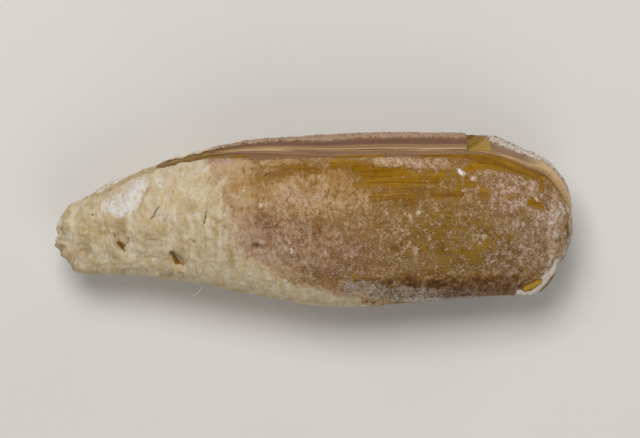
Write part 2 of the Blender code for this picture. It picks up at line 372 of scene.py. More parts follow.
    def margin_step(self, ball: np.ndarray) -> np.ndarray:
        """How far the left valve's margin stands back from the right valve's."""
        front = smooth_step(0.6, 1.0, ball[:, 0])
        belly = smooth_step(-0.08, 0.25, ball[:, 1])
        return self.lip_step * front * belly * (1 - smooth_step(0.0, 0.35, ball[:, 2]))

    def flared(self, ball: np.ndarray, place: np.ndarray) -> np.ndarray:
        """How far the belly margin flares out before the front."""
        near = smooth_step(0.0, 0.25, ball[:, 1]) * (1 - smooth_step(0.0, 0.24, ball[:, 2]))
        return curve_through(self.flare, place) * near

    def bands(self, edge: np.ndarray, place: np.ndarray, side: Side) -> np.ndarray:
        """Where each point lies in the bands beside the margin.

        Args:
            edge: Distances from the margin.
            place: Places along the shell, from -1 to 1.
            side: The valve.

        Returns:
            On the right valve the share of the bare band, from 0 at the margin to 1 at its end. On the left
            valve 0 to 1 is the outer band, 1 to 2 the inner one, and more lies on the crust.
        """
        bare = np.maximum(self.bare_band(place, side), 0.3)
        if side is Side.RIGHT:
            return np.clip(edge / bare, 0.0, 2.0)
        outer = np.minimum(curve_through(self.outer_band, place), 0.9 * bare)
        return np.clip(np.where(edge < outer, edge / outer, 1 + (edge - outer) / (bare - outer)), 0.0, 3.0)

    def rested(self, points: np.ndarray) -> np.ndarray:
        """Fills what hangs just above the ground with crust and wears it flat."""
        up = np.array((0.0, math.sin(self.roll), math.cos(self.roll)))
        height = self.axis_height + points @ up
        filled = np.maximum(0.0, 1.5 * (height - self.rest_crust)) - height
        return points + np.where(height < 3 * self.rest_crust, filled, 0.0)[:, None] * up

    def bare_band(self, place: np.ndarray, side: Side) -> np.ndarray:
        """Width of the bare band along the belly margin."""
        return curve_through(self.left_bare_band if side is Side.LEFT else self.right_bare_band, place)

    def crusted(self, points: np.ndarray, place: np.ndarray, edge: np.ndarray, side: Side,
                width: Pair) -> np.ndarray:
        """Gives 0 on the bare band and 1 on the crust; the width reaches below and above the line between."""
        ledge = self.bare_band(place, side) + self.ledge_wander * rough(points, 0.8, 9.0)
        return smooth_step(ledge - width[0], ledge + width[1], edge)

    def relief(
        self, points: np.ndarray, place: np.ndarray, angle: np.ndarray, edge: np.ndarray, side: Side
    ) -> np.ndarray:
        """How far the surface stands out of the plain oval form.

        Args:
            points: Points of the plain form.
            place: Places along the shell, from -1 to 1.
            angle: Angles round the axis.
            edge: Distances from the margin.
            side: The valve.

        Returns:
            Heights in millimetres.
        """
        x, y, z = points.T
        seen_y = y * math.cos(self.roll) - z * math.sin(self.roll)
        seed = 40.0 * side.value
        rear = 1 - smooth_step(*self.thick_crust, x)
        end = 1 - smooth_step(*self.rough_end, place)
        crusted = self.crusted(points, place, edge, side, self.ledge_width)
        high = self.crust * crusted
        for size, height, more_at_rear in self.crust_lumps:
            high += crusted * (height + more_at_rear * rear) * rough(points, size, seed)
        lines = np.stack([x / 0.62, angle * 0.9, np.full_like(x, 7.0 * side.value)], axis=1)
        wrinkled = smooth_step(*self.wrinkles_start, x) * (1 - smooth_step(*self.wrinkles_end, x))
        high += self.wrinkle_height * wrinkled * rough(lines, 1.0)
        high += self.end_height * end * rough(points, 1.3, seed)
        tip = 1 - smooth_step(*self.rough_tip, place)
        for size, height in self.tip_lumps:
            high += tip * height * rough(points, size, seed)
        if side is Side.LEFT:
            for px, py, radius, depth in self.pits:
                high -= depth * oval_bump(x, seen_y, (px, py), radius)
            high += self.beak_swell * oval_bump(x, seen_y, self.beak, self.beak_radius)
            high -= self.beak_notch_depth * oval_bump(x, seen_y, self.beak_notch, self.beak_notch_radius)
            high += self.small_forms(x, seen_y)
        else:
            bare = self.bare_band(place, side)
            chip = self.chip(x, edge, self.chip_softness)
            scoop = smooth_step(0.0, 0.6, (x - self.chip_rear) / self.chip_width)
            inside = self.chip_front_rise * scoop - self.chip_rear_depth * (1 - scoop)
            heap = smooth_step(*self.heap_start, x) * (1 - smooth_step(*self.heap_end, x))
            heap *= self.heap_height * smooth_step(bare, bare + 0.5, edge)
            high += heap * (1 + 1.6 * rough(points, 0.6, 3.0) + 1.2 * rough(points, 0.3, 5.0))
            high = high * (1 - chip) + inside * chip
        return high

    def small_forms(self, x: np.ndarray, seen_y: np.ndarray) -> np.ndarray:
        """The left valve's single small hollows, notches and lumps, seen from above."""
        high = np.zeros_like(x)
        for px, py, radius, height in self.lumps:
            high += height * oval_bump(x, seen_y, (px, py), radius)
        for route, half_width, height in self.ridges:
            high += height * np.exp(-(route_distance(x, seen_y, route) / half_width) ** 2)
        return high


def half_ball(p: np.ndarray, q: np.ndarray) -> np.ndarray:
    """Carries a square grid onto the upper half of a unit ball, with no pole."""
    x, y = p * np.sqrt(1 - q * q / 2), q * np.sqrt(1 - p * p / 2)
    radius = np.minimum(1.0, np.hypot(x, y))
    stretch = np.where(radius > 1e-9, np.sin(radius * math.pi / 2) / np.maximum(radius, 1e-9), math.pi / 2)
    return np.stack([x * stretch, y * stretch, np.cos(radius * math.pi / 2)], axis=1)


# What lies on the shell


@dataclass(frozen=True)
class Patch:
    """A soft oval spot of one layer, placed as seen from above, in millimetres."""

    layer: Layer
    x: float
    y: float
    half_long: float
    half_wide: float
    amount: float
    turn: float = 0.0

    @property
    def wander(self) -> float:
        """How much the spot's outline strays with the roughness of the crust."""
        return 0.3 * min(1.0, max(self.half_long, self.half_wide) / 0.8) + 0.2

    def strength(self, x: np.ndarray, y: np.ndarray) -> np.ndarray:
        """How much the patch adds at each place."""
        turn = math.radians(self.turn)
        along = (x - self.x) * math.cos(turn) + (y - self.y) * math.sin(turn)
        across = (y - self.y) * math.cos(turn) - (x - self.x) * math.sin(turn)
        spread = np.sqrt((along / self.half_long) ** 2 + (across / self.half_wide) ** 2)
        return self.amount * (1 - smooth_step(0.5, 1.3, spread))


@dataclass(frozen=True)
class Stroke:
    """A soft line of one layer along a route seen from above, in millimetres."""

    layer: Layer
    route: Route
    half_width: float
    amount: float

    @property
    def wander(self) -> float:
        """How much the line's outline strays with the roughness of the crust."""
        return 0.12 + 0.2 * min(1.0, self.half_width / 0.6)

    def strength(self, x: np.ndarray, y: np.ndarray) -> np.ndarray:
        """How much the line adds at each place."""
        return self.amount * (1 - smooth_step(0.5, 1.3, route_distance(x, y, self.route) / self.half_width))


Mark = Patch | Stroke


def patches(layer: Layer, *ovals: tuple[float, ...]) -> tuple[Patch, ...]:
    """Makes patches of one layer, each given as x, y, half length, half width, amount and any turn."""
    return tuple(Patch(layer, *oval) for oval in ovals)


def strokes(layer: Layer, *lines: tuple[Route, float, float]) -> tuple[Stroke, ...]:
    """Makes strokes of one layer, each given as its route, half width and amount."""
    return tuple(Stroke(layer, *line) for line in lines)


def spots(layer: Layer, amount: float, radius: float, *places: Pair) -> tuple[Patch, ...]:
    """Makes small round patches of one size, one at each place."""
    return tuple(Patch(layer, x, y, radius, radius, amount) for x, y in places)


def middle_marks() -> tuple[Mark, ...]:
    """The tan film of the middle, with amber streaks before it and brown spots behind it."""
    band = ((5.6, 4.85), (7.5, 4.75), (10.0, 4.7), (11.2, 4.75))
    flecks = (
        (8.15, 0.2), (8.3, -0.1), (8.94, 0.5), (7.4, -0.95), (9.9, -1.74), (8.94, -1.5), (8.65, -2.6),
        (8.7, -2.95), (10.77, -0.5), (11.5, -1.2), (14.2, -2.1), (13.8, -1.8), (14.2, 2.7),
    )
    return (
        *patches(COVER, (0.0, 2.2, 5.2, 1.8, 0.35), (-2.0, -2.2, 5.5, 2.4, 0.12, -12)),
        *patches(AMBER, (-2.0, 3.4, 6.5, 1.9, 0.35, 4), (-5.6, 2.2, 1.9, 1.9, 0.5)),
        *patches(PINK, (-1.0, -2.4, 7.5, 2.6, 0.75, -10), (-0.8, 2.0, 2.6, 0.9, 0.5)),
        *patches(DARK, (-6.6, 0.6, 1.9, 1.3, 0.1), (-4.6, -1.0, 1.6, 1.5, 0.25)),
        *spots(DARK, 0.4, 0.16, (-7.3, 1.9), (-6.9, -0.2), (-6.2, 0.9), (-5.5, -1.3), (-4.4, 0.6),
               (-3.7, -1.7), (-2.6, -1.2), (-2.3, -3.1), (-1.3, -2.0), (-0.6, -0.4), (1.3, -1.8),
               (1.9, -0.3), (2.7, -2.1)),
        *spots(WHITE, 0.45, 0.2, (-5.6, -3.0), (-3.9, -3.0), (-2.9, -1.8), (-2.4, -2.5), (-0.4, -2.6),
               (1.0, -2.9), (2.1, -1.2), (3.4, -0.6), (4.4, -2.2), (-5.2, 0.7), (-6.0, 2.4), (5.9, -1.9),
               (6.2, 0.4)),
        *strokes(COVER, (((-4.1, 3.6), (-1.2, 4.4), (0.2, 4.1)), 0.35, -0.25),
                 (((1.8, 4.8), (5.0, 4.4)), 0.45, -0.35)),
        *strokes(AMBER, (((-3.7, 4.4), (0.2, 4.2), (5.0, 4.5)), 0.7, 0.6)),
        # the amber streaks
        *patches(AMBER, (7.4, 3.0, 8.6, 1.9, 0.75)),
        *patches(COVER, (7.6, 3.0, 7.0, 1.5, -0.16), (10.6, 2.0, 0.5, 0.28, -0.8),
                 (12.2, 2.15, 0.5, 0.36, -0.8), (14.5, 2.3, 0.4, 0.5, -1.0, 20),
                 (12.6, 2.9, 0.4, 0.34, -0.6), (13.5, 3.0, 0.45, 0.3, -0.5), (13.5, 4.4, 0.8, 0.26, -0.9, 5),
                 (10.95, 3.9, 0.3, 0.22, -0.6), (13.3, 3.55, 0.5, 0.2, -0.4)),
        *strokes(COVER, (((3.7, 4.3), (4.9, 3.8), (7.6, 4.1)), 0.5, -0.6),
                 (((3.6, 2.9), (5.3, 3.1), (10.4, 3.2)), 0.34, -0.5),
                 (((5.1, 1.8), (7.8, 2.3), (8.3, 1.4)), 0.4, -0.35),
                 (((6.5, 3.7), (11.0, 3.75)), 0.2, -0.25)),
        # the pale granular band below the margin
        *strokes(COVER, (band, 0.45, 0.3), (((-4.4, 4.85), (-1.5, 4.97)), 0.25, 0.4)),
        *strokes(WHITE, (band, 0.42, 0.28), (((-4.4, 4.85), (-1.5, 4.97)), 0.22, 0.15)),
        *strokes(PINK, (((6.6, 4.8), (10.0, 4.7), (13.6, 4.75)), 0.5, 0.8)),
        # flecks of crust
        *strokes(WHITE, (((12.45, 4.2), (12.75, 3.9)), 0.22, 0.95),
                 (((12.69, 3.7), (12.69, 2.4)), 0.06, 0.5)),
        *strokes(COVER, (((12.4, 4.2), (12.8, 3.85)), 0.22, 1.2), (((12.69, 3.7), (12.69, 2.4)), 0.08, 0.4)),
        *strokes(PALE, (((12.45, 4.2), (12.72, 3.92)), 0.17, 0.7)),
        *patches(PALE, (13.6, 3.5, 0.28, 0.15, 0.5, 10)),
        *patches(WHITE, (13.6, 3.5, 0.36, 0.2, 0.65, 10), (14.55, -1.48, 0.27, 0.27, 0.7),
                 (-2.57, 4.5, 0.14, 0.5, 0.5)),
        *patches(COVER, (13.6, 3.5, 0.38, 0.24, 1.0, 10), (14.55, -1.48, 0.3, 0.3, 0.5)),
        *spots(WHITE, 0.55, 0.19, *flecks),
        *spots(COVER, 0.35, 0.22, *flecks),
        *spots(WHITE, 0.5, 0.3, (-4.5, 1.2), (-3.9, 1.25), (0.3, 3.6)),
        # brown spots and small rings between the chalk and the middle
        *patches(DARK, (0.22, -1.0, 0.42, 0.75, 0.55), (-4.85, -0.15, 0.3, 0.62, 0.6),
                 (-3.2, -0.6, 0.13, 0.35, 0.5, -10), (-5.8, -0.3, 0.3, 0.6, 0.35),
                 (-1.6, 0.2, 0.2, 0.4, 0.25), (-5.05, -2.3, 0.34, 0.34, 0.95),
                 (-4.35, -2.42, 0.24, 0.2, 0.85), (-1.0, -4.23, 0.26, 0.26, 0.6),
                 (-1.0, -3.4, 0.2, 0.14, 0.5), (-6.37, -0.7, 0.14, 0.14, 0.7)),
        *patches(AMBER, (0.22, -1.0, 0.6, 0.8, 0.6)),
        *strokes(DARK, (((-3.2, -2.95), (-2.75, -3.65), (-2.05, -4.0)), 0.15, 0.5),
                 (((1.45, -4.5), (1.65, -4.4), (1.85, -4.85)), 0.1, 0.7),
                 (((-7.75, 2.6), (-7.7, 1.4), (-7.85, 0.4)), 0.28, 0.22),
                 (((-7.0, 1.1), (-7.0, 0.3)), 0.25, 0.32)),
        *strokes(WHITE, (((-3.45, -2.1), (-3.5, -2.8)), 0.17, 0.7),
                 (((-2.1, -2.1), (-1.95, -2.9)), 0.15, 0.7)),
        *patches(WHITE, (-4.5, -1.9, 0.3, 0.22, 0.7)),
        *spots(WHITE, 0.4, 0.26, (-1.0, -3.75), (2.6, -3.0), (-4.6, -3.1)),
    )


def front_marks() -> tuple[Mark, ...]:
    """The olive mottling, the lilac corner, the amber along the margin and the steps of growth."""
    rim = (
        (21.9, 1.15), (22.12, 0.5), (22.25, -0.26), (22.25, -1.1), (22.1, -2.1), (21.75, -2.9),
        (21.3, -3.5),
    )
    lip = (
        (21.0, -3.7), (20.75, -4.3), (20.4, -4.85), (19.95, -5.5), (19.45, -6.05), (18.9, -6.5),
        (18.2, -6.5), (17.75, -6.4),
    )
    glow = ((10.0, 5.4), (13.5, 5.2), (15.3, 4.9), (17.0, 4.6), (18.8, 4.1), (20.1, 3.6))
    nick = ((21.85, -0.5), (22.0, -1.1), (22.05, -1.6))
    behind_lip = ((18.35, -6.02), (19.0, -5.72), (19.55, -5.45))
    return (
        *patches(OLIVE, (12.6, -1.6, 5.6, 3.4, 0.75)),
        *patches(COVER, (12.0, -1.8, 4.6, 3.0, -0.14), (14.0, -3.7, 0.9, 0.4, -0.3),
                 (11.0, -4.4, 0.6, 0.25, -0.5), (16.65, -1.55, 0.22, 0.6, -0.5),
                 (18.18, -2.09, 0.45, 0.25, -0.45, 10)),
        *spots(COVER, -0.5, 0.3, (9.64, -0.44), (11.03, -0.7), (10.07, -0.8), (10.42, -1.48), (9.55, -2.44),
               (10.94, -2.79), (12.69, -2.7), (6.93, -2.35), (6.7, -2.7), (8.24, -3.05), (14.69, -2.2),
               (5.54, 0.61), (5.36, -0.44), (9.55, 0.7), (10.51, 0.35), (11.64, 0.35), (9.6, -4.6),
               (10.1, -4.62)),
        *strokes(COVER, (((13.0, -3.1), (13.7, -2.9), (14.1, -2.6)), 0.26, -0.7)),
        *spots(COVER, -0.45, 0.25, (17.31, -2.7), (17.83, -4.36), (17.22, -4.97), (15.83, -1.57)),
        # the lilac granular corner and its bare spots
        *patches(PINK, (17.2, 2.5, 3.4, 2.2, 1.2), (17.0, -3.2, 3.2, 2.8, 0.7), (18.8, -0.2, 2.2, 1.8, 0.7)),
        *patches(COVER, (17.0, 2.5, 2.7, 1.7, 0.12), (19.4, 1.1, 0.3, 0.3, -0.9),
                 (17.0, 1.95, 0.6, 0.3, -0.5, 20), (17.8, 2.75, 0.4, 0.2, -0.4)),
        *patches(WHITE, (17.8, 2.4, 2.0, 1.5, 0.2), (18.5, -1.5, 2.2, 3.0, 0.22)),
        *strokes(COVER, (((18.4, 1.45), (19.0, 1.35)), 0.2, -1.0),
                 (((18.72, 1.85), (18.78, 1.25)), 0.18, -1.0)),
        *patches(AMBER, (19.0, 1.4, 0.9, 0.6, 0.8)),
        # the glowing amber beside the margin and its wedge before the front
        *strokes(AMBER, (glow, 1.1, 0.95), (((20.1, 3.6), (20.9, 2.9), (21.6, 1.9)), 0.5, 0.65),
                 (((1.9, 5.4), (3.4, 5.5), (6.0, 5.42)), 0.22, 1.3),
                 (((19.8, 3.4), (19.5, 2.0)), 0.45, 0.25)),
        *strokes(COVER, (((13.6, 4.8), (15.6, 4.5), (17.6, 4.05), (19.4, 3.6)), 0.22, -0.8),
                 (((19.75, 3.4), (19.55, 2.4)), 0.2, -1.1)),
        *patches(COVER, (19.75, 3.75, 0.42, 0.5, -1.6)),
        # the steps of growth and their flecks
        *patches(COVER, (21.0, -0.4, 1.0, 3.0, 0.35)),
        *patches(PINK, (21.2, -0.4, 1.0, 3.0, 0.5)),
        *patches(WHITE, (20.7, -0.6, 0.9, 2.6, 0.14)),
        *patches(AMBER, (21.3, -0.4, 0.8, 3.0, 0.3)),
        *strokes(PALE, (FIRST_STEP, 0.2, 0.25), (SECOND_STEP, 0.18, 0.25), (GROWTH_FOLD, 0.13, 0.55),
                 (rim, 0.17, 0.45), (lip, 0.26, 1.2)),
        *strokes(WHITE, (FIRST_STEP, 0.25, 0.3), (SECOND_STEP, 0.25, 0.3), (GROWTH_FOLD, 0.22, 0.7),
                 (rim, 0.25, 0.55), (lip, 0.3, 1.0)),
        *spots(WHITE, 1.2, 0.17, (21.25, 1.3), (21.35, 1.1), (21.0, 0.5), (21.55, -1.2), (21.55, 0.8),
               (21.6, 0.5)),
        *strokes(DARK, (nick, 0.12, 0.9)),
        *strokes(COVER, (nick, 0.12, -0.6)),
        # the amber patch behind the lip of the beak
        *strokes(COVER, (behind_lip, 0.3, -2.2)),
        *strokes(AMBER, (behind_lip, 0.34, 2.2)),
        *strokes(DARK, (behind_lip, 0.34, -1.2)),
        *strokes(PALE, (behind_lip, 0.26, -1.6)),
    )


def lower_marks() -> tuple[Mark, ...]:
    """The lower side, with its greyish band of crust and its bare holes, darker towards the bottom edge:
    partly its own brown, partly painted shade.
    """
    band = ((3.2, -6.0), (5.9, -6.25), (8.6, -6.5), (11.2, -6.7), (13.2, -6.7))
    return (
        *strokes(WHITE, (band, 0.8, 0.75),
                 (((6.9, -7.0), (10.1, -7.0), (12.7, -6.95), (14.0, -6.8)), 0.2, 0.55)),
        # painted shade: these dark strokes darken the grey band and the lower front towards the bottom edge,
        # over their own brown
        *strokes(DARK, (band, 0.8, 0.35),
                 (((11.4, -6.0), (14.4, -5.9), (16.2, -5.8), (17.5, -5.7)), 0.95, 0.7)),
        *patches(WHITE, (4.5, -5.7, 1.2, 0.5, 0.3), (4.2, -5.4, 0.12, 0.3, 0.8, 40)),
        *strokes(OLIVE, (band, 0.8, 0.7)),
        *strokes(PINK, (band, 0.8, 0.4),
                 (((12.0, -6.3), (14.4, -6.2), (16.2, -6.1), (17.5, -5.9)), 0.8, 0.6)),
        # painted shade along the lower side, with some brown spots of its own
        *patches(DARK, (9.0, -5.4, 5.5, 0.7, 0.3), (8.2, -5.35, 0.9, 0.5, 0.45, -20),
                 (6.3, -5.5, 0.6, 0.35, 0.4), (10.2, -5.65, 0.9, 0.4, 0.4, -10)),
        *strokes(COVER, (((7.9, -7.1), (10.1, -7.05), (12.7, -6.95), (14.0, -6.8)), 0.16, 0.6),
                 (((3.7, -5.06), (5.6, -5.12)), 0.09, -1.2),
                 (((7.7, -5.0), (8.2, -5.35), (8.8, -5.6)), 0.42, -0.85)),
        *strokes(AMBER, (((10.4, -5.5), (14.4, -5.4), (17.5, -5.2)), 0.9, 0.6)),
        *patches(AMBER, (15.0, -5.2, 1.2, 0.35, 0.6, 4)),
        *patches(COVER, (15.0, -5.2, 1.0, 0.3, -0.3, 4), (3.5, -5.06, 0.28, 0.3, -1.2, -30),
                 (6.3, -5.45, 0.45, 0.26, -0.8), (6.5, -5.7, 0.22, 0.22, -0.5), (8.9, -5.2, 0.3, 0.3, -0.5),
                 (9.9, -5.55, 0.45, 0.36, -0.65), (10.7, -5.75, 0.4, 0.3, -0.6)),
        *patches(PINK, (2.0, -5.2, 3.5, 1.2, 0.3, 4)),
        *patches(STAIN, (-7.15, -2.8, 0.25, 1.0, 0.4)),
    )


def rear_marks() -> tuple[Mark, ...]:
    """The white place, the stains, the smooth strip and the coloured hollows of the chalk."""
    strip = ((-18.8, 2.35), (-17.8, 2.7), (-16.8, 3.25), (-15.65, 3.8), (-14.6, 4.2), (-14.0, 4.4))
    outer = ((-18.9, 2.4), (-17.8, 3.05), (-16.1, 3.95), (-14.5, 4.6), (-13.0, 5.1))
    return (
        *strokes(PALE, (strip, 0.3, 0.75), (outer, 0.16, 0.7)),
        *strokes(WHITE, (outer, 0.2, 0.6)),
        # the white place and the paler chalk round it
        *strokes(WHITE, (((-15.2, 2.6), (-15.6, 1.5), (-16.3, 0.7)), 0.75, 0.75),
                 (((-15.6, 2.5), (-16.3, 1.7), (-17.3, 0.9)), 0.95, 0.45)),
        *patches(WHITE, (-16.9, 1.5, 1.3, 1.1, 0.4, 15), (-17.8, 1.3, 1.0, 0.8, 0.3, 25),
                 (-14.3, 3.3, 1.6, 0.7, 0.4, 20), (-13.1, 3.1, 0.5, 0.6, 0.5), (-14.9, 1.9, 0.3, 0.35, 0.3),
                 (-10.8, 4.2, 2.2, 0.7, 0.25, 8), (-9.3, 4.4, 0.3, 0.5, 0.35),
                 (-13.6, 0.0, 0.5, 1.0, 0.25, -25), (-21.4, -1.8, 0.5, 0.7, 0.5),
                 (-9.3, -1.6, 0.8, 0.8, 0.2), (-6.2, -2.6, 0.6, 0.5, 0.3), (-10.3, -3.2, 0.5, 0.8, 0.2)),
        *spots(WHITE, 0.8, 0.14, (-17.6, -1.1), (-6.93, 1.92), (-6.58, 1.92)),
        # broad stains
        *patches(STAIN, (-14.48, 2.53, 0.4, 0.36, 0.75), (-14.75, 0.9, 0.5, 0.62, 0.4),
                 (-19.75, -2.7, 0.5, 0.5, 0.35), (-21.4, -3.1, 0.3, 0.3, 0.7), (-17.4, 1.0, 3.0, 2.2, 0.08),
                 (-13.2, -3.3, 0.45, 0.55, 0.5), (-14.4, -2.0, 0.5, 0.8, 0.35),
                 (-10.75, 1.2, 0.75, 0.6, 0.65, -15), (-9.0, 1.3, 0.4, 0.9, 0.4),
                 (-7.1, -4.0, 0.2, 0.4, 0.3), (-16.35, -4.36, 0.3, 0.2, 0.5), (-8.5, -5.6, 0.3, 0.3, 0.5),
                 (-6.76, -1.4, 0.22, 0.5, 0.6)),
        *strokes(STAIN, (((-20.1, -0.4), (-19.0, -0.6), (-18.2, -0.95), (-17.6, -0.8)), 0.55, 0.55),
                 (((-19.95, -1.3), (-19.85, -2.1), (-20.0, -2.9)), 0.5, 0.5),
                 (((-20.55, -2.3), (-20.7, -3.2), (-20.45, -3.75)), 0.4, 0.4),
                 (((-22.2, -0.87), (-21.4, -0.87)), 0.25, 0.6), (((-12.9, -0.3), (-13.05, -1.3)), 0.28, 0.5),
                 (((-7.15, -2.7), (-7.2, -3.75), (-7.0, -5.2)), 0.22, 0.55),
                 (((-8.5, -2.2), (-8.5, -3.7)), 0.16, 0.4), (((-11.45, -1.1), (-11.4, -2.7)), 0.18, 0.4),
                 (((-13.3, -4.75), (-12.6, -4.95)), 0.2, 0.7)),
        # the first hollow, with its ring, and the amber one below it
        *strokes(STAIN, (((-16.6, -0.2), (-16.65, -1.1), (-16.8, -2.0)), 0.5, 0.8),
                 (((-16.95, -2.1), (-16.62, -2.4)), 0.24, 1.0),
                 (((-16.62, -2.35), (-16.42, -2.8)), 0.1, 1.2),
                 (((-16.08, -1.6), (-16.16, -2.1), (-16.45, -2.3)), 0.08, 0.9),
                 (((-17.25, -1.45), (-17.36, -1.9), (-17.2, -2.45)), 0.07, 0.8),
                 (((-12.33, -2.9), (-12.08, -3.4), (-11.95, -3.8)), 0.17, 1.45),
                 (((-12.0, -3.75), (-11.45, -3.92)), 0.16, 1.6),
                 (((-11.75, -4.5), (-11.45, -4.85)), 0.22, 0.85)),
        *patches(STAIN, (-17.27, -1.48, 0.14, 0.12, 0.8), (-11.75, -3.5, 0.3, 0.35, 0.6),
                 (-12.2, -3.1, 0.6, 0.7, 0.3), (-10.46, -1.92, 0.16, 0.14, 1.5),
                 (-10.68, -1.8, 0.12, 0.1, 0.8), (-11.82, 0.04, 0.13, 0.09, 0.9)),
        # brown smears where the chalk thins out
        *strokes(STAIN, (((-8.5, 0.05), (-8.35, -0.35), (-7.98, -0.17), (-7.7, -0.1)), 0.16, 0.95),
                 (((-8.5, -0.85), (-8.36, -1.3)), 0.18, 0.95)),
        *strokes(PINK, (((-13.0, 4.3), (-10.8, 4.75), (-7.5, 5.0)), 0.35, 0.9)),
        *strokes(DARK, (((-13.3, 4.5), (-10.9, 4.9), (-8.7, 5.08)), 0.16, 0.25)),
        *patches(AMBER, (-6.5, 5.35, 0.65, 0.16, 1.2)),
        *strokes(COVER, (((-8.5, 4.4), (-6.0, 4.6)), 0.5, 0.3)),
        *patches(COVER, (-7.0, 1.6, 2.2, 3.2, 0.3)),
    )


@dataclass
class Painter:
    """Lays every layer of crust, stain and horn colour over the valves."""

    form: ShellForm
    chalk_line: Route = (
        (-7.4, 5.0), (-6.63, 2.2), (-5.76, -1.4), (-4.67, -3.8), (-3.14, -6.0), (-0.96, -7.3), (1.66, -8.0),
        (4.27, -8.9), (6.0, -9.6), (7.4, -10.4),
    )
    warp_sizes: Point = (1.3, 0.5, 0.22)
    crust_edge: Pair = (0.16, 0.2)
    # how far past the chalk line the chalk fades out, and the crust beside it
    chalk_fade: Pair = (-1.9, 2.3)
    thick_fade: Pair = (0.5, 4.5)
    # where the right valve's front zone and the left valve's middle zone start along the shell
    front_start: Pair = (13.3, 15.5)
    middle_start: Pair = (3.0, 9.0)

    def warp(self, points: np.ndarray, reaches: Point, seed: float) -> np.ndarray:
        """How far coarse, middling and fine roughness carry each place aside."""
        return sum(reach * rough(points, size, seed + n)
                   for n, (size, reach) in enumerate(zip(self.warp_sizes, reaches)))

    def paint(self, skin: Skin) -> dict[Layer, np.ndarray]:
        """Works out every layer over a surface.

        Args:
            skin: The surface's points.

        Returns:
            One value a point for each layer.
        """
        form = self.form
        x, y, z = skin.world(form).T
        wide = np.stack([x, y * 0.8, z * 0.8], axis=1)
        warp_x = self.warp(wide, (0.34, 0.22, 0.14), 11.0)
        warp_y = self.warp(wide, (0.26, 0.2, 0.14), 21.0)
        layers = {layer: np.zeros_like(x) for layer in Layer}
        line = curve_through(self.chalk_line, y)
        beyond = x - line + 2.4 * warp_x + 0.5 * rough(wide, 0.45, 31.0)
        if skin.side is Side.RIGHT:
            beyond += 3.5 * rough(wide, 4.5, 33.0) + 1.6 * rough(wide, 1.8, 34.0)
        chalk = 1 - smooth_step(*self.chalk_fade, beyond)
        near = 1 - smooth_step(*self.thick_fade, beyond)
        layers[CHALK] = chalk
        layers[COVER] += 0.62 + 0.3 * near
        layers[WHITE] += (0.2 + 0.12 * near) * (1 - chalk)
        layers[AMBER] += 0.35
        layers[PINK] += 0.15
        if skin.side is Side.RIGHT:
            front = smooth_step(*self.front_start, x + warp_x)
            past = skin.edge - form.bare_band(skin.place, skin.side) + 2.0 * warp_y
            beside = 1 - smooth_step(0.8, 3.4, past)
            layers[COVER] += 0.3 * beside + 0.1 * rough(wide, 2.4, 35.0)
            layers[PINK] += 0.1 + 0.6 * beside
            layers[AMBER] += 0.4 * (1 - beside)
            layers[OLIVE] += 0.5 * smooth_step(-0.1, 0.3, rough(wide, 3.6, 36.0)) * (1 - beside)
            # whiter beside the margin and most at the front: white crust, with a painted highlight where the
            # upper silhouette at the front catches the light
            layers[WHITE] += (0.2 + (0.3 + 0.65 * front) * beside) * (1 - chalk)
            layers[ROUGH] += 0.8 + 0.5 * front
            layers[DARK] += (0.1 + 0.22 * beside) * (1 - front) * (1 - chalk)
        else:
            ahead = smooth_step(*self.middle_start, x)
            layers[ROUGH] += 0.5 + 0.8 * ahead + 0.5 * (1 - smooth_step(-5.5, -4.0, y))
            layers[WHITE] += 0.2 * ahead
            lift = math.tan(form.roll) * curve_through(form.centre, skin.place)
            ring = np.sqrt(1 - np.minimum(1.0, skin.place**2))
            widest = form.axis_height + lift - 0.13 * ring * curve_through(form.fullness, skin.place)
            top = smooth_step(-0.8, 0.0, z - widest)
            uneven = (COVER, WHITE, DARK)
            speckled = 1 + 1.1 * rough(wide, 0.42, 51.0) + 0.8 * rough(wide, 0.22, 52.0)
            for mark in middle_marks() + front_marks() + lower_marks() + rear_marks():
                found = mark.strength(x + mark.wander * warp_x, y + mark.wander * warp_y)
                layers[mark.layer] += top * found * (speckled if mark.layer in uneven else 1.0)
        crusted = form.crusted(skin.points, skin.place, skin.edge, skin.side, self.crust_edge)
        layers[COVER] = np.clip(layers[COVER], -0.6, 1.25) * crusted
        layers[CHALK] *= crusted * (1 - np.clip(layers[PALE], 0.0, 1.0))
        layers[PALE] = np.clip(layers[PALE], 0.0, 1.5)
        return layers


# Building node trees


def sum_of(operation: str, swapped: bool = False) -> Callable[["Value", object], "Value"]:
    """Makes an operator of a value: one sum with another number, which comes first when swapped."""

    def operator(value: "Value", other: object) -> "Value":
        """Adds the sum to the value's tree."""
        return value.tree.maths(operation, *((other, value) if swapped else (value, other)))

    return operator


class Value:
    """A number, vector or colour in a node tree, with the sums that nodes can do on it."""

    def __init__(self, tree: "Tree", socket: bpy.types.NodeSocket) -> None:
        """Wraps an output of the tree."""
        self.tree = tree
        self.socket = socket

    __add__ = sum_of("ADD")
    __sub__ = sum_of("SUBTRACT")
    __rsub__ = sum_of("SUBTRACT", swapped=True)
    __mul__ = sum_of("MULTIPLY")
    __truediv__ = sum_of("DIVIDE")
    __rtruediv__ = sum_of("DIVIDE", swapped=True)

    def rise(self, low: float, high: float, way: str = "SMOOTHSTEP") -> "Value":
        """Gives 0 below low and 1 above high."""
        inputs = {0: self, 1: low, 2: high}
        return self.tree.value("ShaderNodeMapRange", inputs, clamp=True, interpolation_type=way)


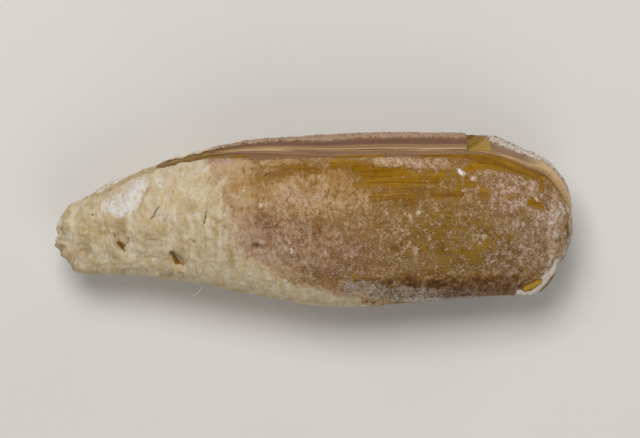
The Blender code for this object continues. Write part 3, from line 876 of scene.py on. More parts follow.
class Tree:
    """Adds nodes to a node tree and links them, for materials and for geometry alike."""

    def __init__(self, tree: bpy.types.NodeTree) -> None:
        """Starts on an existing node tree."""
        self.tree = tree

    def node(self, kind: str, inputs: dict[object, object], **settings: object) -> bpy.types.Node:
        """Adds a node, sets its properties and feeds its inputs, by name or number."""
        made = self.tree.nodes.new(kind)
        for name, setting in settings.items():
            setattr(made, name, setting)
        self.fill(made, inputs)
        return made

    def fill(self, node: bpy.types.Node, inputs: dict[object, object]) -> None:
        """Links each input of a node to a value, or gives it a constant.

        Args:
            node: The node.
            inputs: A value, number, colour or vector for each input's name or number.
        """
        for key, source in inputs.items():
            socket = node.inputs[key]
            if isinstance(source, Value):
                self.tree.links.new(source.socket, socket)
            elif socket.type == "RGBA":
                socket.default_value = (*source, 1.0)
            else:
                socket.default_value = source

    def value(self, kind: str, inputs: dict[object, object] | None = None, output: object = 0,
              **settings: object) -> Value:
        """Adds a node and gives one of its outputs."""
        return Value(self, self.node(kind, inputs or {}, **settings).outputs[output])

    def use(self, group: bpy.types.NodeTree, given: dict[str, object]) -> dict[str, Value]:
        """Places a shader group, feeds the inputs that it has, and gives its outputs by name."""
        made = self.node("ShaderNodeGroup", {}, node_tree=group)
        self.fill(made, {name: source for name, source in given.items() if name in made.inputs})
        return {socket.name: Value(self, socket) for socket in made.outputs}

    def put_out(self, **results: Value) -> bpy.types.NodeTree:
        """Ends a group with its results."""
        self.node("NodeGroupOutput", results)
        return self.tree

    def maths(self, operation: str, *values: object, clamp: bool = False) -> Value:
        """Does one sum on numbers."""
        return self.value("ShaderNodeMath", dict(enumerate(values)), operation=operation, use_clamp=clamp)

    def vector(self, operation: str, *values: object) -> Value:
        """Does one sum on vectors."""
        output = "Value" if operation in ("DISTANCE", "DOT_PRODUCT") else "Vector"
        return self.value("ShaderNodeVectorMath", dict(enumerate(values)), output, operation=operation)

    def scaled(self, vector: Value, scale: Value) -> Value:
        """Makes a vector longer or shorter."""
        return self.value("ShaderNodeVectorMath", {0: vector, "Scale": scale}, operation="SCALE")

    def split(self, vector: Value) -> list[Value]:
        """Gives the three parts of a vector."""
        return [Value(self, part) for part in self.node("ShaderNodeSeparateXYZ", {0: vector}).outputs]

    def join(self, x: object = 0.0, y: object = 0.0, z: object = 0.0) -> Value:
        """Makes a vector of three numbers."""
        return self.value("ShaderNodeCombineXYZ", {0: x, 1: y, 2: z})

    def mix(self, share: object, first: object, second: object, blend: str = "MIX") -> Value:
        """Mixes two colours."""
        return self.value("ShaderNodeMix", {0: share, 6: first, 7: second}, 2, data_type="RGBA",
                          blend_type=blend, clamp_factor=True)

    def blend(self, share: object, first: object, second: object) -> Value:
        """Mixes two numbers."""
        inputs = {0: share, 2: first, 3: second}
        return self.value("ShaderNodeMix", inputs, data_type="FLOAT", clamp_factor=True)

    def grain(self, place: Value, size: object, detail: float = 2.0, roughness: float = 0.5,
              stretch: Point | None = None) -> Value:
        """Reads a noise.

        Args:
            place: Where to read it, in millimetres.
            size: The width of a lump.
            detail: How many finer noises lie on it.
            roughness: How strong they are.
            stretch: Scales the place along each axis, so that the lumps are drawn out.

        Returns:
            A number from 0 to 1.
        """
        if stretch:
            place = self.vector("MULTIPLY", place, stretch)
        inputs = {"Vector": place, "Scale": 1.0 / size, "Detail": detail, "Roughness": roughness}
        return self.value("ShaderNodeTexNoise", inputs, "Fac", noise_dimensions="3D")

    def ramp(self, share: Value, stops: Stops) -> Value:
        """Reads a colour from a list of stops."""
        made = self.node("ShaderNodeValToRGB", {0: share})
        elements = made.color_ramp.elements
        while len(elements) < len(stops):
            elements.new(1.0)
        for element, (at, colour) in zip(elements, stops):
            element.position = at
            element.color = (*colour, 1.0)
        return Value(self, made.outputs[0])

    def bump(self, height: Value, strength: float, distance: float) -> Value:
        """Turns a height into a normal; the distance is in metres."""
        return self.value("ShaderNodeBump", {"Strength": strength, "Distance": distance, "Height": height})

    def attribute(self, name: str) -> Value:
        """Reads a named number from the surface, in a material."""
        return self.value("ShaderNodeAttribute", output="Fac", attribute_name=name)

    def stored(self, name: str) -> Value:
        """Reads a named number from the mesh, in a geometry tree."""
        return self.value("GeometryNodeInputNamedAttribute", {"Name": name}, "Attribute", data_type="FLOAT")

    def place(self, kind: str = "ShaderNodeTexCoord", output: object = "Object") -> Value:
        """Gives the place in the row frame, in millimetres."""
        return self.vector("MULTIPLY", self.value(kind, output=output), (1 / MM,) * 3)


@dataclass(frozen=True)
class Port:
    """A named input or output of a node group."""

    name: str
    kind: str = "NodeSocketFloat"
    value: object = None


PLACE = Port("Place", "NodeSocketVector")
COLOUR = Port("Colour", "NodeSocketColor")
HEIGHT = Port("Height")
GEOMETRY = Port("Geometry", "NodeSocketGeometry")
FINISH = Port("Finish", "NodeSocketMaterial")


def new_group(name: str, inputs: tuple[Port, ...], outputs: tuple[Port, ...],
              kind: str = "ShaderNodeTree") -> tuple[Tree, dict[str, Value]]:
    """Starts a node group with its named sockets.

    Args:
        name: The group's name.
        inputs: The group's inputs.
        outputs: The group's outputs.
        kind: The sort of node tree.

    Returns:
        The group's tree, and its inputs by name.
    """
    group = bpy.data.node_groups.new(name, kind)
    for ports, way in ((inputs, "INPUT"), (outputs, "OUTPUT")):
        for port in ports:
            socket = group.interface.new_socket(port.name, in_out=way, socket_type=port.kind)
            if port.value is not None:
                socket.default_value = port.value
    tree = Tree(group)
    given = tree.node("NodeGroupInput", {})
    return tree, {socket.name: Value(tree, socket) for socket in given.outputs}


def numbers(*names: str) -> tuple[Port, ...]:
    """Makes one number port for each name."""
    return tuple(Port(name) for name in names)


def growth_lines() -> bpy.types.NodeTree:
    """Fine and broad lines that run parallel to the margin, as the shell grew."""
    tree, given = new_group("growth_lines", numbers("Run", "Growth"), numbers("Fine", "Broad"))
    found = {}
    for name, along, across in (("Fine", 0.22, 5.0), ("Broad", 0.07, 1.3)):
        place = tree.join(given["Run"] * along, given["Growth"] * across)
        found[name] = tree.grain(place, 1.0, 2.0, 0.55)
    return tree.put_out(**found)


def horn_colour() -> bpy.types.NodeTree:
    """The bare horny skin: amber to dark brown along its growth lines, with an olive cast in places."""
    inputs = (PLACE, *numbers("Fine", "Broad", "Amber", "Olive", "Dark"))
    tree, given = new_group("horn_colour", inputs, (COLOUR,))
    mottle = tree.grain(given["Place"], 0.9, 3.0)
    tone = (given["Fine"] * 0.5 + given["Broad"] * 0.6 + mottle * 0.35).rise(0.5, 0.95)
    tan = tree.ramp(tone, ((0.0, (0.19, 0.098, 0.032)), (1.0, (0.38, 0.215, 0.082))))
    amber = tree.ramp(tone, ((0.0, (0.17, 0.068, 0.0008)), (1.0, (0.36, 0.18, 0.008))))
    olive = tree.ramp(tone, ((0.0, (0.15, 0.078, 0.004)), (1.0, (0.33, 0.195, 0.024))))
    amber = tree.mix(given["Amber"].rise(1.9, 2.7), amber, (0.60, 0.35, 0.03))
    colour = tree.mix(given["Olive"], tree.mix(given["Amber"], tan, amber), olive)
    return tree.put_out(Colour=tree.mix(given["Dark"] * 0.85, colour, (0.075, 0.036, 0.014)))


def granular_film() -> bpy.types.NodeTree:
    """The thin granular crust over the horn: where it lies, its colour with painted shade between the grains
    and painted highlights on their tops, and its height.
    """
    inputs = (PLACE, *numbers("Cover", "Amber", "Pink", "White", "Dark", "Rough"))
    tree, given = new_group("granular_film", inputs, (COLOUR, Port("Mask"), HEIGHT))
    place, pink, white, uneven = given["Place"], given["Pink"], given["White"], given["Rough"]
    speck = tree.grain(place, 0.33, 4.0, 0.7, (1.0, 0.62, 0.62))
    fine = tree.grain(place, 0.13, 2.0, 0.6, (1.0, 0.75, 0.75))
    broad = tree.grain(place, 1.7, stretch=(1.0, 0.8, 0.8)) - 0.5
    clump = tree.grain(place, 0.6, 2.0, 0.6, (1.0, 0.85, 0.85)) - 0.5
    bead = tree.grain(place, 0.21, 2.0, 0.65)
    height = fine * 0.4 + speck * 0.6
    level = height + (given["Cover"] - 0.5) * 0.42 + broad * 0.22 + clump * uneven * 0.32
    mask = level.rise(0.37, 0.62)
    body = tree.mix(pink, (0.385, 0.228, 0.088), (0.345, 0.202, 0.118))
    pale = tree.mix(pink, (0.54, 0.385, 0.215), (0.55, 0.385, 0.29))
    colour = tree.mix((level - 0.68 + white * 0.36).rise(-0.12, 0.2), body, pale)
    tint = (tree.grain(place, 0.42) + tree.grain(place, 1.1)) * 0.5
    warm = (given["Amber"] * 0.16 + tint).rise(0.5, 0.78)
    colour = tree.mix(warm * 0.75, colour, (0.36, 0.182, 0.045))
    sparkle = tree.grain(place, 0.26, 2.0, 0.6) + white * 0.2
    colour = tree.mix(sparkle.rise(0.70, 0.90), colour, (0.70, 0.60, 0.49))
    # painted shade: darkens the hollows between the grains, more where the grain is coarser
    hollow = (1.0 - bead.rise(0.33, 0.5)) * uneven
    colour = tree.mix(hollow * 0.62, colour, (0.19, 0.108, 0.022))
    # painted highlight: lightens the tops of the grains, more where the grain is coarser
    crest_highlight = bead.rise(0.54, 0.72) * uneven
    colour = tree.mix(crest_highlight * 0.55, colour, tree.mix(pink, (0.56, 0.43, 0.26), (0.60, 0.44, 0.36)))
    frost = white.rise(0.6, 1.4) * bead.rise(0.3, 0.6)
    colour = tree.mix(frost * 0.8, colour, (0.64, 0.62, 0.59))
    shade = tree.mix(given["Dark"] * 0.85, (1.0, 1.0, 1.0), (0.45, 0.33, 0.24))
    colour = tree.mix(1.0, colour, shade, "MULTIPLY")
    return tree.put_out(Colour=colour, Mask=mask, Height=mask * (bead * uneven * 0.6 + height + 0.3))


def chalk_crust() -> bpy.types.NodeTree:
    """The thick chalk of the rear end: cream, finely wrinkled across, with stains and white places."""
    tree, given = new_group("chalk_crust", (PLACE, *numbers("Stain", "White")), (COLOUR, HEIGHT))
    place, stain = given["Place"], given["Stain"]
    across = tree.grain(place, 1.0, 4.0, 0.6, (2.3, 0.5, 0.5))
    blotch = tree.grain(place, 1.3, 3.0, 0.6, (1.0, 0.7, 0.7))
    fine = tree.grain(place, 0.17, 2.0, 0.6, (1.0, 0.6, 0.6))
    tone = (across * 0.36 + blotch * 0.42 + fine * 0.22).rise(0.34, 0.66, "LINEAR")
    colour = tree.ramp(tone, (
        (0.0, (0.42, 0.30, 0.145)), (0.3, (0.56, 0.44, 0.275)),
        (0.65, (0.66, 0.555, 0.395)), (1.0, (0.76, 0.69, 0.57)),
    ))
    warm = tree.grain(place, 0.75, 3.0, 0.6, (1.3, 0.8, 0.8)).rise(0.42, 0.72)
    colour = tree.mix(warm * 0.72, colour, (0.56, 0.395, 0.175))
    cool = tree.grain(place, 0.5, 3.0, 0.65, (1.5, 0.7, 0.7)).rise(0.52, 0.72)
    colour = tree.mix(cool * 0.7, colour, (0.70, 0.66, 0.59))
    patchy = tree.grain(place, 0.5, 3.0, 0.6).rise(0.25, 0.6) * stain
    colour = tree.mix(patchy * 0.85, colour, (0.40, 0.27, 0.115))
    colour = tree.mix(stain.rise(0.95, 1.8), colour, (0.22, 0.105, 0.018))
    frayed = tree.grain(place, 0.45, 3.0, 0.6) - 0.5
    whiter = given["White"] + frayed * 1.6 + (fine - 0.5) * 0.5
    colour = tree.mix(whiter.rise(0.1, 1.5) * 0.92, colour, (0.725, 0.71, 0.685))
    return tree.put_out(Colour=colour, Height=(across + fine) * 0.5)


def line_mark() -> bpy.types.NodeTree:
    """A thin mark between two points as seen from above, only on the upper side."""
    ends = (Port("Start", "NodeSocketVector"), Port("End", "NodeSocketVector"), Port("Half width"))
    tree, given = new_group("line_mark", (PLACE, *ends), numbers("Mask"))
    place, start = given["Place"], given["Start"]
    ragged = tree.value("ShaderNodeTexNoise", {"Vector": place, "Scale": 3.0}, "Color", noise_dimensions="3D")
    shift = tree.vector("MULTIPLY", tree.vector("SUBTRACT", ragged, (0.5,) * 3), (0.16, 0.16, 0.0))
    flat = tree.vector("ADD", tree.vector("MULTIPLY", place, (1.0, 1.0, 0.0)), shift)
    span = tree.vector("SUBTRACT", given["End"], start)
    offset = tree.vector("SUBTRACT", flat, start)
    square = tree.vector("DOT_PRODUCT", span, span) + 1e-6
    share = tree.maths("DIVIDE", tree.vector("DOT_PRODUCT", offset, span), square, clamp=True)
    distance = tree.vector("DISTANCE", offset, tree.scaled(span, share))
    inside = 1.0 - (distance / given["Half width"]).rise(0.5, 1.3)
    return tree.put_out(Mask=inside * tree.split(place)[2].rise(6.5, 8.0))


@dataclass
class ShellGroups:
    """The shader groups that the shell's finishes share, each built once."""

    lines: bpy.types.NodeTree
    horn: bpy.types.NodeTree
    film: bpy.types.NodeTree
    chalk: bpy.types.NodeTree
    mark: bpy.types.NodeTree

    @classmethod
    def build(cls) -> "ShellGroups":
        """Builds every group."""
        return cls(growth_lines(), horn_colour(), granular_film(), chalk_crust(), line_mark())


# Finishes


def new_material(name: str) -> tuple[bpy.types.Material, Tree, bpy.types.Node]:
    """Starts a material; gives it with its tree and its Principled BSDF."""
    made = bpy.data.materials.new(name)
    made.use_nodes = True
    return made, Tree(made.node_tree), made.node_tree.nodes["Principled BSDF"]


@dataclass(frozen=True)
class Crack:
    """A thin dark line in the crust, as a route seen from above, in millimetres."""

    route: Route
    half_width: float
    strength: float


LEFT_CRACKS = (
    Crack(((-13.4, 1.03), (-13.7, 0.64), (-13.84, 0.21), (-14.1, 0.06)), 0.075, 0.85),
    Crack(((-12.5, 0.45), (-12.95, -0.17)), 0.06, 0.35),
    Crack(((20.95, -4.3), (20.5, -5.0), (20.0, -5.75), (19.4, -6.3)), 0.05, 0.35),
    Crack(((-9.29, 0.65), (-9.37, 0.15), (-9.48, -0.35)), 0.07, 0.95),
    Crack(((-9.56, -0.47), (-9.43, -0.84)), 0.055, 0.6),
    Crack(((-14.75, 1.74), (-15.1, 0.87)), 0.06, 0.5),
    Crack(((-17.35, -1.3), (-17.1, -2.0), (-16.75, -2.5)), 0.06, 0.5),
    Crack(((-16.1, -1.65), (-16.2, -2.1)), 0.07, 0.55),
    Crack(((-16.72, -2.5), (-16.5, -2.72)), 0.13, 0.8),
    Crack(((-11.95, -3.5), (-11.45, -3.8)), 0.12, 0.6),
    Crack(((-19.24, 0.39), (-19.2, 0.38)), 0.12, 1.0),
    Crack(((-18.5, -2.4), (-18.45, -2.42)), 0.09, 0.5),
    Crack(((-11.76, 0.05), (-11.72, 0.04)), 0.09, 0.55),
    Crack(((-6.1, -0.7), (-5.95, -1.0)), 0.06, 0.6),
    Crack(((6.12, 5.7), (6.05, 5.35)), 0.06, 0.7),
)


@dataclass(frozen=True)
class MarginBands:
    """The coloured bands beside a margin, out to the crust, and how far they reach."""

    reach: float
    stops: Stops


LEFT_BANDS = MarginBands(2.0, (
    (0.0, (0.20, 0.11, 0.055)), (0.06, (0.31, 0.18, 0.095)), (0.2, (0.27, 0.15, 0.085)),
    (0.36, (0.31, 0.175, 0.095)), (0.48, (0.37, 0.22, 0.125)), (0.54, (0.16, 0.08, 0.036)),
    (0.64, (0.25, 0.13, 0.058)), (0.84, (0.29, 0.165, 0.078)), (0.94, (0.22, 0.115, 0.052)),
    (1.0, (0.36, 0.22, 0.12)),
))
# the right valve's bands begin at its edge with a painted shadow line beside the gap and a painted highlight
# where the rounded edge catches the light; the bands beyond are its own colours
RIGHT_BANDS = MarginBands(1.0, (
    (0.0, (0.10, 0.05, 0.03)), (0.03, (0.14, 0.075, 0.04)), (0.055, (0.60, 0.43, 0.235)),
    (0.10, (0.58, 0.41, 0.215)), (0.135, (0.33, 0.195, 0.095)), (0.36, (0.33, 0.195, 0.095)),
    (0.43, (0.21, 0.105, 0.06)), (0.62, (0.185, 0.092, 0.054)), (0.86, (0.2, 0.10, 0.06)),
    (1.0, (0.28, 0.17, 0.10)),
))


@dataclass(frozen=True)
class ShellFinish:
    """The finish of one valve: horn, margin bands, granular film and chalk."""

    name: str
    bands: MarginBands
    cracks: tuple[Crack, ...] = ()
    rear_line: float = 0.0
    front_lines: float = 0.0
    gloss: float = 0.07
    horn_roughness: float = 0.38
    crust_roughness: float = 0.88
    lip: Point = (0.62, 0.41, 0.205)
    line_colour: Point = (0.54, 0.375, 0.19)
    crack_colour: Point = (0.10, 0.06, 0.03)
    stripes: Stops = ((0.1, (0.42, 0.28, 0.15)), (0.35, (0.24, 0.135, 0.072)), (0.55, (0.33, 0.2, 0.11)),
                      (0.75, (0.21, 0.115, 0.066)), (0.95, (0.34, 0.22, 0.14)))
    # where each change of the margin's colour starts and ends along the shell
    line_fades: Pair = (-3.5, -1.0)
    stripes_start: Pair = (14.8, 15.8)
    stripes_pale: Pair = (18.0, 20.2)
    golden_ends: Pair = (-9.5, -6.5)
    cream_ends: Pair = (-14.1, -13.5)
    lip_golden: Pair = (20.8, 21.6)

    def material(self, groups: ShellGroups) -> bpy.types.Material:
        """Builds the finish.

        Args:
            groups: The shared shader groups.

        Returns:
            The material.
        """
        made, tree, shader = new_material(self.name)
        place = tree.place()
        read = {layer.name.capitalize(): tree.attribute(layer.value) for layer in Layer}
        rim, chip = tree.attribute("rim"), tree.attribute("chip")
        lines = tree.use(groups.lines, {"Run": tree.attribute("run"), "Growth": tree.attribute("edge")})
        given = {**read, **lines, "Place": place}
        horn, film, chalk = (tree.use(group, given) for group in (groups.horn, groups.film, groups.chalk))
        fine = lines["Fine"]

        colour = self.margin_colour(tree, place, fine, read["Amber"], horn["Colour"])
        colour = tree.mix(film["Mask"], colour, film["Colour"])
        patchy = tree.grain(place, 0.5, 4.0, 0.65, (1.0, 0.6, 0.6)) - 0.5
        chalky = (read["Chalk"] + patchy * 1.5).rise(0.2, 0.8)
        colour = tree.mix(chalky, colour, chalk["Colour"])
        worn = tree.grain(place, 0.3) - 0.5
        pale = (read["Pale"] + worn * 0.6).rise(0.35, 0.7)
        bare_shell = tree.mix(read["White"] + worn * 0.7, (0.48, 0.39, 0.23), (0.95, 0.85, 0.73))
        colour = tree.mix(pale * 0.85, colour, bare_shell)
        colour = tree.mix(chip, colour, self.chip_colour(tree, place))
        colour = tree.mix(rim, colour, self.lip_colour(tree, place, fine))
        colour = self.cracked(tree, groups.mark, place, colour)

        smooth = tree.maths("MAXIMUM", tree.maths("MAXIMUM", rim, chip), pale * 0.75)
        crusty = tree.maths("MAXIMUM", film["Mask"], chalky) * (1.0 - smooth)
        height = tree.blend(chalky, film["Height"], chalk["Height"]) * crusty + fine * 0.12
        tree.fill(shader, {
            "Base Color": colour,
            "Specular IOR Level": self.gloss,
            "Roughness": tree.blend(crusty, self.horn_roughness, self.crust_roughness),
            "Normal": tree.bump(height, 0.75, 0.11 * MM),
        })
        return made

    def margin_colour(self, tree: Tree, place: Value, fine: Value, amber: Value, horn: Value) -> Value:
        """The coloured bands beside the margin, with the horn beyond them.

        Args:
            tree: The material's tree.
            place: The place in millimetres.
            fine: The fine growth lines.
            amber: The amber layer.
            horn: The horn's colour.

        Returns:
            The colour of the bare surface.
        """
        x, band, whole = tree.split(place)[0], tree.attribute("band"), self.bands.reach
        wander = band + (fine - 0.5) * 0.14
        colour = tree.ramp(wander / whole, self.bands.stops)
        colour = tree.mix(fine.rise(0.35, 0.7), tree.mix(0.3, colour, (0.10, 0.05, 0.025)), colour)
        line = (1.0 - band.rise(0.35, 0.6)) * (1.0 - x.rise(*self.line_fades)) * self.rear_line
        colour = tree.mix(line, colour, self.line_colour)
        striped = tree.ramp(band + fine * 0.3, self.stripes)
        striped = tree.mix(x.rise(*self.stripes_pale), striped, (0.60, 0.415, 0.22))
        colour = tree.mix(x.rise(*self.stripes_start) * self.front_lines, colour, striped)
        golden = tree.mix(fine.rise(0.40, 0.60), (0.09, 0.034, 0.001), (0.31, 0.175, 0.028))
        colour = tree.mix(x.rise(*self.golden_ends), golden, colour)
        cream = tree.mix(band.rise(0.05, 0.35), (0.72, 0.60, 0.42), (0.44, 0.33, 0.175))
        colour = tree.mix(x.rise(*self.cream_ends), cream, colour)
        bare_amber = wander.rise(0.48 * whole, 0.56 * whole) * amber
        colour = tree.mix(bare_amber.rise(0.75, 1.1), colour, horn)
        return tree.mix(band.rise(0.92 * whole, 1.05 * whole), colour, horn)

    def chip_colour(self, tree: Tree, place: Value) -> Value:
        """The fresh break: olive yellow towards the outer rear corner, tan towards the inner front one."""
        x, y, _ = tree.split(place)
        tan = tree.mix(tree.grain(place, 0.6), (0.31, 0.175, 0.03), (0.44, 0.275, 0.075))
        blotch = tree.grain(place, 0.5, 3.0).rise(0.35, 0.65)
        olive = tree.mix(blotch, (0.17, 0.09, 0.001), (0.29, 0.17, 0.008))
        return tree.mix((y - x * 0.75).rise(-4.3, -3.9), tan, olive)

    def lip_colour(self, tree: Tree, place: Value, fine: Value) -> Value:
        """The valve's edge face: pale tan with fine lines across it, golden with dark lines at the front."""
        across = tree.grain(tree.join(tree.attribute("run") * 5.5), 1.0, 1.0)
        dark = tuple(0.62 * part for part in self.lip)
        pale = tuple(min(1.0, 1.18 * part) for part in self.lip)
        colour = tree.mix(across.rise(0.3, 0.7), dark, self.lip)
        colour = tree.mix(fine.rise(0.45, 0.75), colour, pale)
        golden = tree.mix(across.rise(0.35, 0.6), (0.36, 0.22, 0.09), (0.68, 0.50, 0.27))
        return tree.mix(tree.split(place)[0].rise(*self.lip_golden), colour, golden)

    def cracked(self, tree: Tree, mark: bpy.types.NodeTree, place: Value, colour: Value) -> Value:
        """Draws every crack over a colour."""
        for crack in self.cracks:
            for start, end in zip(crack.route, crack.route[1:]):
                ends = {"Start": (*start, 0.0), "End": (*end, 0.0), "Half width": crack.half_width}
                mask = tree.use(mark, {"Place": place, **ends})["Mask"]
                colour = tree.mix(mask * (0.8 * crack.strength), colour, self.crack_colour)
        return colour


@dataclass(frozen=True)
class GrainFinish:
    """The single grains and flakes of the crust, each with its own tone."""

    name: str
    roughness: float = 0.8
    shades: Stops = ((0.0, (0.78, 0.73, 0.68)), (0.6, (0.96, 0.95, 0.94)), (1.0, (1.06, 1.07, 1.08)))

    def material(self, groups: ShellGroups) -> bpy.types.Material:
        """Builds the finish, which takes the colour of the crust below each grain."""
        made, tree, shader = new_material(self.name)
        read = {name: tree.attribute(name.lower()) for name in ("Amber", "Pink", "White", "Stain", "Dark")}
        given = {**read, "Place": tree.place(), "Cover": 1.0}
        film, crust = tree.use(groups.film, given), tree.use(groups.chalk, given)
        colour = tree.mix(tree.attribute("chalk").rise(0.3, 0.7), film["Colour"], crust["Colour"])
        colour = tree.mix(1.0, colour, tree.ramp(tree.attribute("tone"), self.shades), "MULTIPLY")
        tree.fill(shader, {"Base Color": colour, "Roughness": self.roughness})
        return made


@dataclass(frozen=True)
class FibreFinish:
    """A streaky finish between two colours: the pale dust threads, or the horny strap of the hinge."""

    name: str
    first: Point
    second: Point
    size: float
    roughness: float
    relief: float

    def material(self) -> bpy.types.Material:
        """Builds the finish, with its streaks drawn out along the shell."""
        made, tree, shader = new_material(self.name)
        streak = tree.grain(tree.place(), self.size, 3.0, 0.6, (0.25, 1.0, 1.0))
        tree.fill(shader, {
            "Base Color": tree.mix(streak.rise(0.35, 0.65), self.first, self.second),
            "Roughness": self.roughness,
            "Normal": tree.bump(streak, 0.6, self.relief * MM),
        })
        return made


# Geometry nodes


def new_geometry(name: str, sizes: tuple[Port, ...], seed: int) -> tuple[Tree, dict[str, Value]]:
    """Starts a geometry tree with its named sizes, its seed and its finish."""
    inputs = (GEOMETRY, *sizes, Port("Seed", "NodeSocketInt", seed), FINISH)
    tree, given = new_group(name, inputs, (GEOMETRY,), "GeometryNodeTree")
    tree.tree.is_modifier = True
    return tree, given


def end_geometry(tree: Tree, given: dict[str, Value], geometry: Value) -> bpy.types.NodeTree:
    """Ends a geometry tree: copies made real, nothing below the ground, and the finish set."""
    real = tree.value("GeometryNodeRealizeInstances", {"Geometry": geometry})
    lifted = tree.vector("MAXIMUM", tree.value("GeometryNodeInputPosition"), (-1.0, -1.0, 0.0))
    grounded = tree.value("GeometryNodeSetPosition", {"Geometry": real, "Position": lifted})
    finished = tree.value("GeometryNodeSetMaterial", {"Geometry": grounded, "Material": given["Finish"]})
    return tree.put_out(Geometry=finished)


@dataclass
class CrustRelief:
    """A geometry tree that roughens a valve where crust lies on it, with sizes in millimetres."""

    grain_size: float = 0.34
    lump_size: float = 0.62
    film_height: float = 0.05
    chalk_height: float = 0.09
    seed: int = 5

    def build(self) -> bpy.types.NodeTree:
        """Builds the tree with its named inputs."""
        tree, given = new_geometry("CrustRelief", (
            Port("Grain size", value=self.grain_size), Port("Lump size", value=self.lump_size),
            Port("Film height", value=self.film_height), Port("Chalk height", value=self.chalk_height),
        ), self.seed)
        place = tree.place("GeometryNodeInputPosition", 0)
        place = tree.vector("ADD", place, tree.join(z=given["Seed"] * 31.7))
        fine = tree.grain(place, given["Grain size"]) - 0.5
        hollow = tree.value("ShaderNodeTexVoronoi", {"Vector": place, "Scale": 1.0 / given["Lump size"]},
                            "Distance", feature="SMOOTH_F1")
        film = fine * 2.0 * given["Film height"] * tree.stored("cover").rise(0.0, 0.6)
        thick = (fine * 0.9 + (0.6 - hollow)) * given["Chalk height"] * tree.stored("chalk")
        offset = tree.scaled(tree.value("GeometryNodeInputNormal"), (film + thick) * MM)
        moved = tree.value("GeometryNodeSetPosition", {"Geometry": given["Geometry"], "Offset": offset})
        return end_geometry(tree, given, moved)


@dataclass
class CrustGrains:
    """A geometry tree that strews loose grains and flakes over a valve's crust.

    The density is in grains a square millimetre, and the sizes are radii in millimetres.
    """

    density: float = 6.0
    smallest: float = 0.035
    largest: float = 0.085
    seed: int = 3
    full_turn: float = 6.28
    per_square_metre: float = 1e6

    def build(self) -> bpy.types.NodeTree:
        """Builds the tree with its named inputs."""
        tree, given = new_geometry("CrustGrains", (
            Port("Density", value=self.density), Port("Smallest", value=self.smallest),
            Port("Largest", value=self.largest),
        ), self.seed)
        seed = given["Seed"]
        density = given["Density"] * self.per_square_metre * tree.stored("grain")
        strewn = tree.value("GeometryNodeDistributePointsOnFaces",
                            {"Mesh": given["Geometry"], "Density": density, "Seed": seed}, "Points",
                            distribute_method="RANDOM")
        ball = tree.value("GeometryNodeMeshIcoSphere", {"Radius": MM, "Subdivisions": 1}, "Mesh")
        turn = tree.value("FunctionNodeRandomValue", {1: (self.full_turn,) * 3, "Seed": seed + 1.0},
                          data_type="FLOAT_VECTOR")
        sizes = {n: tree.join(*(given[name],) * 3) for n, name in enumerate(("Smallest", "Largest"))}
        size = tree.value("FunctionNodeRandomValue", {**sizes, "Seed": seed + 2.0}, data_type="FLOAT_VECTOR")
        tone = tree.value("FunctionNodeRandomValue", {"Seed": seed + 3.0}, 1, data_type="FLOAT")
        placed = tree.value("GeometryNodeInstanceOnPoints",
                            {"Points": strewn, "Instance": ball, "Rotation": turn, "Scale": size})
        toned = tree.value("GeometryNodeStoreNamedAttribute",
                           {"Geometry": placed, "Name": "tone", "Value": tone},
                           data_type="FLOAT", domain="INSTANCE")
        return end_geometry(tree, given, toned)


def add_object(name: str, data: bpy.types.ID) -> bpy.types.Object:
    """Adds an object with its data to the scene."""
    made = bpy.data.objects.new(name, data)
    bpy.context.scene.collection.objects.link(made)
    return made


def apply_tree(source: bpy.types.Object, group: bpy.types.NodeTree, name: str,
               **values: object) -> bpy.types.Object:
    """Runs a geometry tree on an object and keeps the result as a plain mesh.

    Args:
        source: The object that the tree works on; it is left as it was.
        group: The geometry tree.
        name: The new object's name.
        **values: The tree's inputs that differ from its own.

    Returns:
        A new object at the origin, with no modifier.
    """
    modifier = source.modifiers.new(group.name, "NODES")
    modifier.node_group = group
    for item in group.interface.items_tree:
        if item.in_out == "INPUT" and item.name in values:
            modifier[item.identifier] = values[item.name]
    evaluated = source.evaluated_get(bpy.context.evaluated_depsgraph_get())
    mesh = bpy.data.meshes.new_from_object(evaluated)
    source.modifiers.remove(modifier)
    mesh.name = name
    return add_object(name, mesh)


# The pieces


def smooth_object(name: str, points: np.ndarray, faces: list[tuple[int, ...]]) -> bpy.types.Object:
    """Adds a smoothly shaded object of points in millimetres."""
    mesh = bpy.data.meshes.new(name)
    mesh.from_pydata((points * MM).tolist(), [], faces)
    mesh.validate()
    mesh.shade_smooth()
    return add_object(name, mesh)


def tube_faces(start: int, rings: int, sides: int) -> list[tuple[int, ...]]:
    """Gives the faces between rings of points that follow one another."""
    faces = []
    for ring in range(rings - 1):
        for side in range(sides):
            a, b = start + ring * sides + side, start + ring * sides + (side + 1) % sides
            faces.append((a, b, b + sides, a + sides))
    return faces


